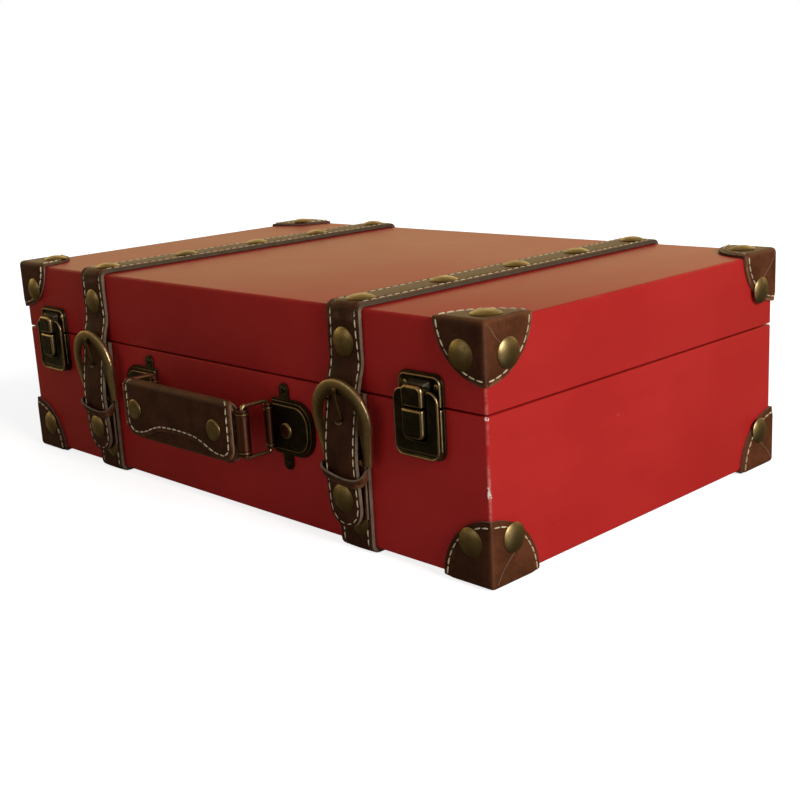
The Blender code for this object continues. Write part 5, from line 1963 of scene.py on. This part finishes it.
@dataclass
class Handle:
    """Carry handle: plates and caps, wire links, ringed sleeves, and a stitched and padded grip."""

    middle: float = 0.0561
    eye: float = 0.056
    eye_reach: float = 0.005
    link_length: float = 0.018
    link_radius: float = 0.001287
    link_half: float = 0.0148
    link_corner: float = 0.0022
    link_stride: float = 0.004
    outer: float = 0.090
    left_slip: Point = (0.0040, 0.0010)
    plate_half: float = 0.016
    plate_corner: float = 0.0135
    plate_sharp: float = 0.0006
    plate: float = 0.0012
    plate_levels: Levels = ((0.0, -0.0004, 0), (0.00025, 0.0, 0), (0.0014, 0.00005, 0))
    ear: Triple = (0.066, 0.004, 0.0037)
    ear_half: float = 0.0249
    ear_thick_share: float = 0.8
    soft: float = 0.0003
    screw_radius: float = 0.0020
    screw_levels: Point = (-0.0211, 0.0214)
    cap_margin: float = 0.0013
    cap_levels: Levels = (
        (0.0, -0.0003, 0), (0.0, 0.0006, 1), (0.0002, 0.0009, 0), (0.0017, 0.0010, 0), (0.0018, 0.0015, 1),
        (0.0020, 0.0018, 1), (0.0024, 0.0019, 0), (0.0034, 0.0020, 0),
    )
    rivet_x: float = 0.0690
    rivet_drop: float = 0.0013
    rivet_bronze: float = 0.0035
    rivet: tuple[Point, ...] = (
        (0.0, 0.0012), (0.0036, 0.0011), (0.0042, 0.0009), (0.0045, 0.0005), (0.0046, 0.0), (0.0, 0.0),
    )
    grip_sleeve: Point = (0.004, 0.0133)
    eye_sleeve: Point = (0.0027, 0.0131)
    sleeve_steps: tuple[Point, ...] = (
        (0.0010, 0.0), (0.0005, 0.0), (0.0001, 0.0004), (0.0001, 0.0011), (0.0006, 0.0014), (0.0006, 0.0017),
        (0.0, 0.0020), (0.0, 0.0027), (0.0005, 0.0030), (0.0005, 0.0033), (0.00015, 0.0037),
    )
    ring_inset: float = 0.00235
    ring_half: float = 0.0002
    grip_half: float = 0.0525
    grip_low: float = 0.0169
    grip_corner: float = 0.008
    grip_upper: float = 0.0052
    grip_reach: float = 0.0297
    grip_thick: float = 0.0026
    grip_face_share: float = 0.82
    arch_rise: float = 0.0078
    arch_shares: tuple[Point, ...] = (
        (0.86, 0.06), (0.74, 0.24), (0.62, 0.52), (0.5, 0.76), (0.36, 0.91), (0.18, 0.98), (0.0, 1.0),
    )
    grip_back_levels: Levels = ((0.0004, 0.0, 1), (0.0, 0.0004, 1), (0.0, 0.0011, 0))
    grip_face_levels: Levels = (
        (0.0, -0.0006, 0), (0.0006, -0.0001, 0), (0.0021, 0.0, 0), (0.0026, -0.00025, 0),
        (0.0032, -0.00025, 0), (0.0037, 0.00005, 0), (0.0062, 0.0003, 0),
    )
    grip_stitch: Triple = (0.0052, 0.0045, 0.0029)
    stitch_sink: float = 0.0001
    stud_inset: float = 0.0165
    stud_shift: float = -0.0022
    stud_sink: float = 0.0004
    fold_level: float = 0.0704
    fold_reach: float = 0.0256
    fold_radius: float = 0.0036
    fold_length: float = 0.0070
    fold_steps: int = 10
    backing: tuple[float, ...] = (0.0509, 0.0186, 0.0150, 0.0075)
    backing_gap: float = 0.0064
    backing_levels: Levels = (
        (0.0008, 0.0, 0), (0.0001, 0.0002, 1), (0.0, 0.0011, 1), (0.0005, 0.0014, 0),
    )
    pad: tuple[float, ...] = (0.0512, 0.0191, 0.0164, 0.008)
    pad_thick: float = 0.0052
    pad_steps: tuple[Point, ...] = (
        (0.0072, 0.0), (0.0052, 0.02), (0.0034, 0.07), (0.0018, 0.17), (0.0007, 0.30), (0.0, 0.48),
        (0.0001, 0.64), (0.0008, 0.80), (0.0020, 0.91), (0.0038, 0.97), (0.0064, 1.0),
    )
    studs: Studs = field(default_factory=Studs)

    def build(self, bench: Bench) -> None:
        """Make every piece of the handle."""
        for side, way in SIDES:
            self._end(bench, side, way)
        self._grip(bench)

    def _end(self, bench: Bench, side: str, way: int) -> None:
        """Make the plate, cap, screws, link and two sleeves at one end.

        Args:
            bench: where they go.
            side: right or left.
            way: 1 on the right, -1 on the left.
        """
        flip: Callable[[Mesh], Mesh] = mirror_x if way < 0 else (lambda work: work)
        x, thick = self.ear[0], self.plate * self.ear_thick_share
        radius = self.screw_radius
        heads = [screw(front(x, CLEAR + thick, self.middle + up), radius) for up in self.screw_levels]
        near = front(self.eye, self.eye_reach, self.middle)
        far = near + OUTWARD * self.link_length
        sleeves = (Finish.BRONZE, Finish.RIM)
        bench.add_side(
            side,
            (flip(self.plate_form(way)), "handle_d_plate", METAL, "base", "handle_plate"),
            (flip(self.cap(way)), "handle_d_cap", (*METAL, Finish.BRONZE), "base", "handle_cap"),
            (flip(merged(*heads)), "handle_screws", (Finish.PLATE, Finish.GREY), "base", ""),
            (flip(self.link()), "handle_wire", (Finish.RIM,), f"handle_link_{side}", "handle_link"),
            (flip(self.sleeve(*self.grip_sleeve, far)), "grip_sleeve", sleeves, "grip", "grip_tube"),
            (flip(self.sleeve(*self.eye_sleeve, near)), "handle_eye_sleeve", sleeves, "base", ""),
        )

    def d_outline(self, margin: float, way: int) -> list[Point]:
        """D shape with its straight side inward, the left one set further out and up."""
        slip, rise = self.left_slip if way < 0 else (0.0, 0.0)
        corner, sharp = self.plate_corner - margin, self.plate_sharp
        half, middle = self.plate_half - margin, self.middle + rise
        low, high, end = middle - half, middle + half, self.outer + slip - margin
        near = self.eye + slip * 0.6 + margin * 0.3
        return fillet(((near, low, sharp), (end, low, corner), (end, high, corner), (near, high, sharp)), 10)

    def plate_form(self, way: int) -> Mesh:
        """D-shaped plate with a screw ear above and below."""
        levels = [(0.0, CLEAR, 0), *raised(CLEAR + self.plate, self.plate_levels)]
        plate = terrace(0.0, lambda margin: self.d_outline(margin, way), levels)
        x, half, corner = self.ear
        outline = box_outline(half, self.middle - self.ear_half, self.middle + self.ear_half, corner, steps=8)
        ears = front_plate(x, CLEAR, outline, self.plate * self.ear_thick_share)
        return merged(plate, soften(ears, self.soft, 2, 0.9))

    def cap(self, way: int) -> Mesh:
        """Raised cap in two steps with rubbed edges, and its rivet."""
        levels = raised(CLEAR + self.plate, self.cap_levels)
        plate = terrace(0.0, lambda inward: self.d_outline(self.cap_margin + inward, way), levels)
        seat = front(self.rivet_x, levels[-1][1], self.middle - self.rivet_drop)
        head = lathe(self.rivet, seat, OUTWARD, 32)
        for face in head.faces:
            face.material_index = 1 if off_axis(face, seat) > self.rivet_bronze else 2
        return merged(plate, head)

    def link(self) -> Mesh:
        """Closed rectangular wire link."""
        near, far = self.eye_reach, self.eye_reach + self.link_length
        low, high, r = self.middle - self.link_half, self.middle + self.link_half, self.link_corner
        outline = fillet(((near, low, r), (far, low, r), (far, high, r), (near, high, r)), 6)
        points = []
        for (u, v), (s, t) in zip(outline, outline[1:] + outline[:1]):
            count = max(1, round(math.dist((u, v), (s, t)) / self.link_stride))
            shares = [step / count for step in range(count)]
            points += [front(self.eye, u + (s - u) * share, v + (t - v) * share) for share in shares]
        return tube(points, self.link_radius, 14, closed=True)

    def sleeve(self, radius: float, half: float, middle: Vector) -> Mesh:
        """Smooth sleeve round a leg of the wire, with two fine rings near either end."""
        profile = [(radius - inward, along - half) for inward, along in self.sleeve_steps]
        profile += [(r, -h) for r, h in reversed(profile)]
        work = lathe(profile, middle, Z_AXIS, 28)
        for face in work.faces:
            away = abs(face.calc_center_median().z - middle.z)
            if abs(away - half + self.ring_inset) < self.ring_half:
                face.material_index = 1
        return work

    def grip_outline(self, margin: float) -> list[Point]:
        """Outline of the grip's front leather, laid flat: straight above, lobed and arched below."""
        half, top = self.grip_half - margin, self.fold_level + self.fold_length - margin
        low = self.middle - self.grip_low + margin
        corner, upper = self.grip_corner - margin * 0.6, self.grip_upper - margin * 0.6
        inner = half - corner
        arch = [(inner * along, low + self.arch_rise * up) for along, up in self.arch_shares]
        right = arc((half - upper, top - upper), upper, HALF_TURN / 2, 0.0, 8)
        right += arc((inner, low + corner), corner, 0.0, -HALF_TURN / 2, 8)
        return both_sides(right + arch[:-1], arch[-1:])

    def fold(self, point: Vector) -> Vector:
        """Bend a point of the flat leather back over the top of the grip."""
        level = point.z - UNDERSIDE - self.fold_level
        if level <= 0:
            return point
        turn = level / self.fold_radius
        radius = point.dot(OUTWARD) + FRONT - self.fold_reach
        reach = self.fold_reach + radius * math.cos(turn)
        return Vector((point.x, FRONT - reach, UNDERSIDE + self.fold_level + radius * math.sin(turn)))

    def face_leather(self, base: float, face: float) -> Mesh:
        """Front leather of the grip, cut finely where it bends and folded back over the top.

        Args:
            base: reach of its back.
            face: reach of its face inside the rim.

        Returns:
            Its mesh.
        """
        levels = [*raised(base, self.grip_back_levels), *raised(face, self.grip_face_levels)]
        leather = terrace(0.0, self.grip_outline, levels)
        for step in range(self.fold_steps):
            level = UNDERSIDE + self.fold_level + self.fold_length * step / self.fold_steps
            whole = [*leather.verts, *leather.edges, *leather.faces]
            bmesh.ops.bisect_plane(leather, geom=whole, dist=MERGE, plane_co=(0, 0, level), plane_no=Z_AXIS)
        for vert in leather.verts:
            vert.co = self.fold(vert.co)
        bmesh.ops.recalc_face_normals(leather, faces=leather.faces)
        return leather

    def face_stitches(self, face: float) -> Mesh:
        """Stitches all round the front leather."""
        pitch, length, margin = self.grip_stitch
        flat = [front(u, face - self.stitch_sink, v) for u, v in self.grip_outline(margin)]
        path = [self.fold(point) for point in flat]
        axis = front(0.0, self.fold_reach, self.fold_level)
        away = [Vector((0.0, point.y - axis.y, point.z - axis.z)).normalized() for point in path]
        rows = Stitching(pitch=pitch, length=length)
        rows.run(path, [out if point.z > axis.z else OUTWARD for point, out in zip(path, away)])
        return rows.mesh()

    def _grip(self, bench: Bench) -> None:
        """Front leather with its stitches and studs, and the padded leather behind."""
        base = self.grip_reach - self.grip_thick
        face = base + self.grip_thick * self.grip_face_share
        skin = (Finish.GRIP, Finish.EDGE)
        bench.add(self.face_leather(base, face), "grip_face", skin, "grip", "grip_front")
        bench.add(self.face_stitches(face), "grip_stitches", THREAD, "grip")
        for side, way in SIDES:
            x = way * (self.eye - self.stud_inset) + self.stud_shift
            seat = front(x, self.grip_reach - self.stud_sink, self.middle)
            head = self.studs.disc(seat, OUTWARD, self.studs.grip)
            bench.add_side(side, (head, "grip_dome", STUD, "grip", "grip_stud"))
        thick, back = self.pad_thick, base - CLEAR
        pad = [(margin, back - thick * (1 - share), 0) for margin, share in self.pad_steps]
        rear = raised(back - self.backing_gap, self.backing_levels)
        work = merged(self.rear_part(self.pad, pad), self.rear_part(self.backing, rear))
        bench.add(work, "grip_pad", skin, "grip", "grip_back")

    def rear_part(self, sizes: Sequence[float], levels: Sequence[Level]) -> Mesh:
        """Pad or thin backing behind the grip.

        Args:
            sizes: half its width, its reach below and above the handle's middle, and its corners' radius.
            levels: its levels, from its back.

        Returns:
            Its mesh.
        """
        half, under, over, corner = sizes
        low, high = self.middle - under, self.middle + over

        def outline(margin: float) -> list[Point]:
            """Outline at a margin from the rim."""
            return box_outline(half - margin, low + margin, high - margin, corner - margin, steps=8)

        return terrace(0.0, outline, levels)


@dataclass
class RearHinges:
    """Dresses the solid hinges and adds their screws."""

    x: float = 0.070
    spread: float = 0.0075
    rise: float = 0.0105
    leaf: float = 0.00115
    screw_radius: float = 0.0019

    def build(self, bench: Bench) -> None:
        """Dress the leaves and pins and set the screws."""
        behind = BACK + 2 * CLEAR + self.leaf
        for side, way in SIDES:
            for part, up in (("base", -self.rise), ("lid", self.rise)):
                bench.dress(f"hinge_{part}_leaf_{side}", Finish.PLATE)
                heads = []
                for offset in (-self.spread, self.spread):
                    head = screw(Vector(), self.screw_radius)
                    seat = Vector((way * self.x + offset, behind, UNDERSIDE + SEAM_HEIGHT + up))
                    turn = Matrix.Translation(seat) @ Matrix.Rotation(HALF_TURN, 4, "Z")
                    bmesh.ops.transform(head, matrix=turn, verts=head.verts)
                    heads.append(head)
                bench.add(merged(*heads), f"hinge_screws_{part}_{side}", (Finish.GREY, Finish.PLATE), part)
            bench.dress(f"hinge_pin_{side}", Finish.RIM)


@dataclass(frozen=True)
class Lamp:
    """Soft rectangular lamp that faces the trunk."""

    name: str
    place: Triple
    size: Point
    power: float
    colour: Colour

    def light(self) -> None:
        """Set the lamp in the scene."""
        data = bpy.data.lights.new(self.name, "AREA")
        data.shape = "RECTANGLE"
        data.size, data.size_y = self.size
        data.energy = self.power
        data.color = self.colour
        lamp = placed(self.name, data)
        lamp.location = self.place
        lamp.rotation_euler = Vector(self.place).to_track_quat("Z", "Y").to_euler()


@dataclass
class Studio:
    """White studio: the camera at the photograph's place, a pale floor, a key on the right, a weak fill."""

    place: Triple = (0.59558, -0.53366, 0.24232)
    azimuth: float = math.radians(46.33)
    elevation: float = math.radians(14.33)
    roll: float = math.radians(-3.17)
    lens: float = 56.57
    sensor: float = 36.0
    floor_size: float = 12.0
    floor_glow: dict[str, float] = field(
        default_factory=lambda: {"From Min": 0.35, "From Max": 1.1, "To Min": 0.82, "To Max": 1.0}
    )
    paper: Colour = (0.80, 0.80, 0.80)
    room_radius: float = 4.6
    table_level: float = 0.0006
    ambient: float = 0.105
    lamps: tuple[Lamp, ...] = (
        Lamp("key", (3.1, -0.14, 1.35), (1.5, 1.5), 84.0, (1.0, 0.985, 0.96)),
        Lamp("fill", (-0.6, -2.6, 1.0), (1.6, 1.2), 4.5, (1.0, 0.98, 0.95)),
    )
    wall: Colour = (1.75, 1.38, 0.68)
    wall_dark: Colour = (1.25, 0.95, 0.46)
    gloom: Colour = (0.210, 0.165, 0.095)
    table: Colour = (0.050, 0.038, 0.021)

    def build(self) -> None:
        """Set camera, floor, lamps and world."""
        self.camera()
        self.floor()
        for lamp in self.lamps:
            lamp.light()
        self.room()
        self.world()
        bpy.context.scene.view_settings.view_transform = "Standard"

    def camera(self) -> None:
        """Camera whose view fits the box's edges in the photograph."""
        turn, rise = self.azimuth, self.elevation
        back = Vector((math.sin(turn) * math.cos(rise), -math.cos(turn) * math.cos(rise), math.sin(rise)))
        right = Vector((math.cos(turn), math.sin(turn), 0.0))
        up = back.cross(right)
        cosine, sine = math.cos(self.roll), math.sin(self.roll)
        columns = (right * cosine + up * sine, up * cosine - right * sine, back)
        data = bpy.data.cameras.new("camera")
        data.lens = self.lens
        data.sensor_width = self.sensor
        data.clip_start = 0.01
        camera = placed("camera", data)
        camera.matrix_world = Matrix.Translation(self.place) @ Matrix(columns).transposed().to_4x4()
        bpy.context.scene.camera = camera

    def floor(self) -> None:
        """White floor that keeps the trunk's shadow."""
        work = bmesh.new()
        bmesh.ops.create_grid(work, x_segments=1, y_segments=1, size=self.floor_size)
        mesh = mesh_data(work, "floor")
        material = bpy.data.materials.new("floor_white")
        material.use_nodes = True
        tree = Tree(material.node_tree)
        tree.tree.nodes.remove(tree.tree.nodes["Principled BSDF"])
        place = tree.node("ShaderNodeTexCoord", {}, {}, "Object")
        distance = tree.node("ShaderNodeVectorMath", {"operation": "LENGTH"}, {0: place}, "Value")
        spread = tree.node("ShaderNodeMapRange", {}, {"Value": distance, **self.floor_glow})
        glow = tree.node("ShaderNodeEmission", {}, {"Color": WHITE, "Strength": tree.seen() * spread})
        paper = tree.node("ShaderNodeBsdfDiffuse", {}, {"Color": self.paper})
        total = tree.node("ShaderNodeAddShader", {}, {0: paper, 1: glow})
        tree.feed(tree.tree.nodes["Material Output"].inputs["Surface"], total)
        mesh.materials.append(material)
        placed("floor", mesh)

    def room(self) -> None:
        """Dark room with a warm wall behind on the left and a dark table, which only reflections see."""
        work = bmesh.new()
        bmesh.ops.create_uvsphere(work, u_segments=48, v_segments=24, radius=self.room_radius)
        table = Matrix.Translation((0.0, 0.0, self.table_level))
        bmesh.ops.create_circle(work, cap_ends=True, segments=48, radius=self.room_radius, matrix=table)
        bmesh.ops.reverse_faces(work, faces=work.faces)
        mesh = mesh_data(work, "room")
        room = placed("room", mesh)
        for part in ("camera", "diffuse", "transmission", "volume_scatter", "shadow"):
            setattr(room, f"visible_{part}", False)
        paint = Paint("room_walls")
        x, y, z = paint.axes()
        height = z / self.room_radius
        toward = ((x * -0.72 + y * 0.69) / self.room_radius).ramp(-0.15, 0.75)
        level = height.ramp(0.02, 0.14) * (height.ramp(0.80, 0.34) * 0.8 + 0.2)
        plank = paint.noise(1.1, 3.0, 0.6, paint.stretch((0.3, 0.3, 3.0))).ramp(0.25, 0.75)
        warm = paint.blend(plank, self.wall_dark, self.wall)
        near = paint.blend(height.ramp(0.01, 0.12), self.table, self.gloom)
        colour = paint.blend(toward * level, near, warm)
        walls = paint.done(Base_Color=(0.0, 0.0, 0.0), Emission_Color=colour, Emission_Strength=1.0)
        mesh.materials.append(walls)

    def world(self) -> None:
        """White surroundings: full for the camera and reflections, weaker as light."""
        world = bpy.data.worlds.new("white")
        bpy.context.scene.world = world
        world.use_nodes = True
        tree = Tree(world.node_tree)
        back = tree.tree.nodes["Background"]
        tree.feed(back.inputs["Color"], WHITE)
        tree.feed(back.inputs["Strength"], tree.seen() * (1.0 - self.ambient) + self.ambient)


def main() -> None:
    """Build the trunk and its studio, and report each piece."""
    logging.basicConfig(level=logging.INFO, format="%(message)s")
    bench = Bench(make_finishes())
    Case().build(bench)
    CornerCap().build(bench)
    for side, way in SIDES:
        StrapSet(way * STRAP_X, side).build(bench)
        Latch(way * LATCH_X + LATCH_SHIFT, side).build(bench)
    Handle().build(bench)
    RearHinges().build(bench)
    Studio().build()
    LOG.info("%d pieces", bench.count)


if __name__ == "__main__":
    main()
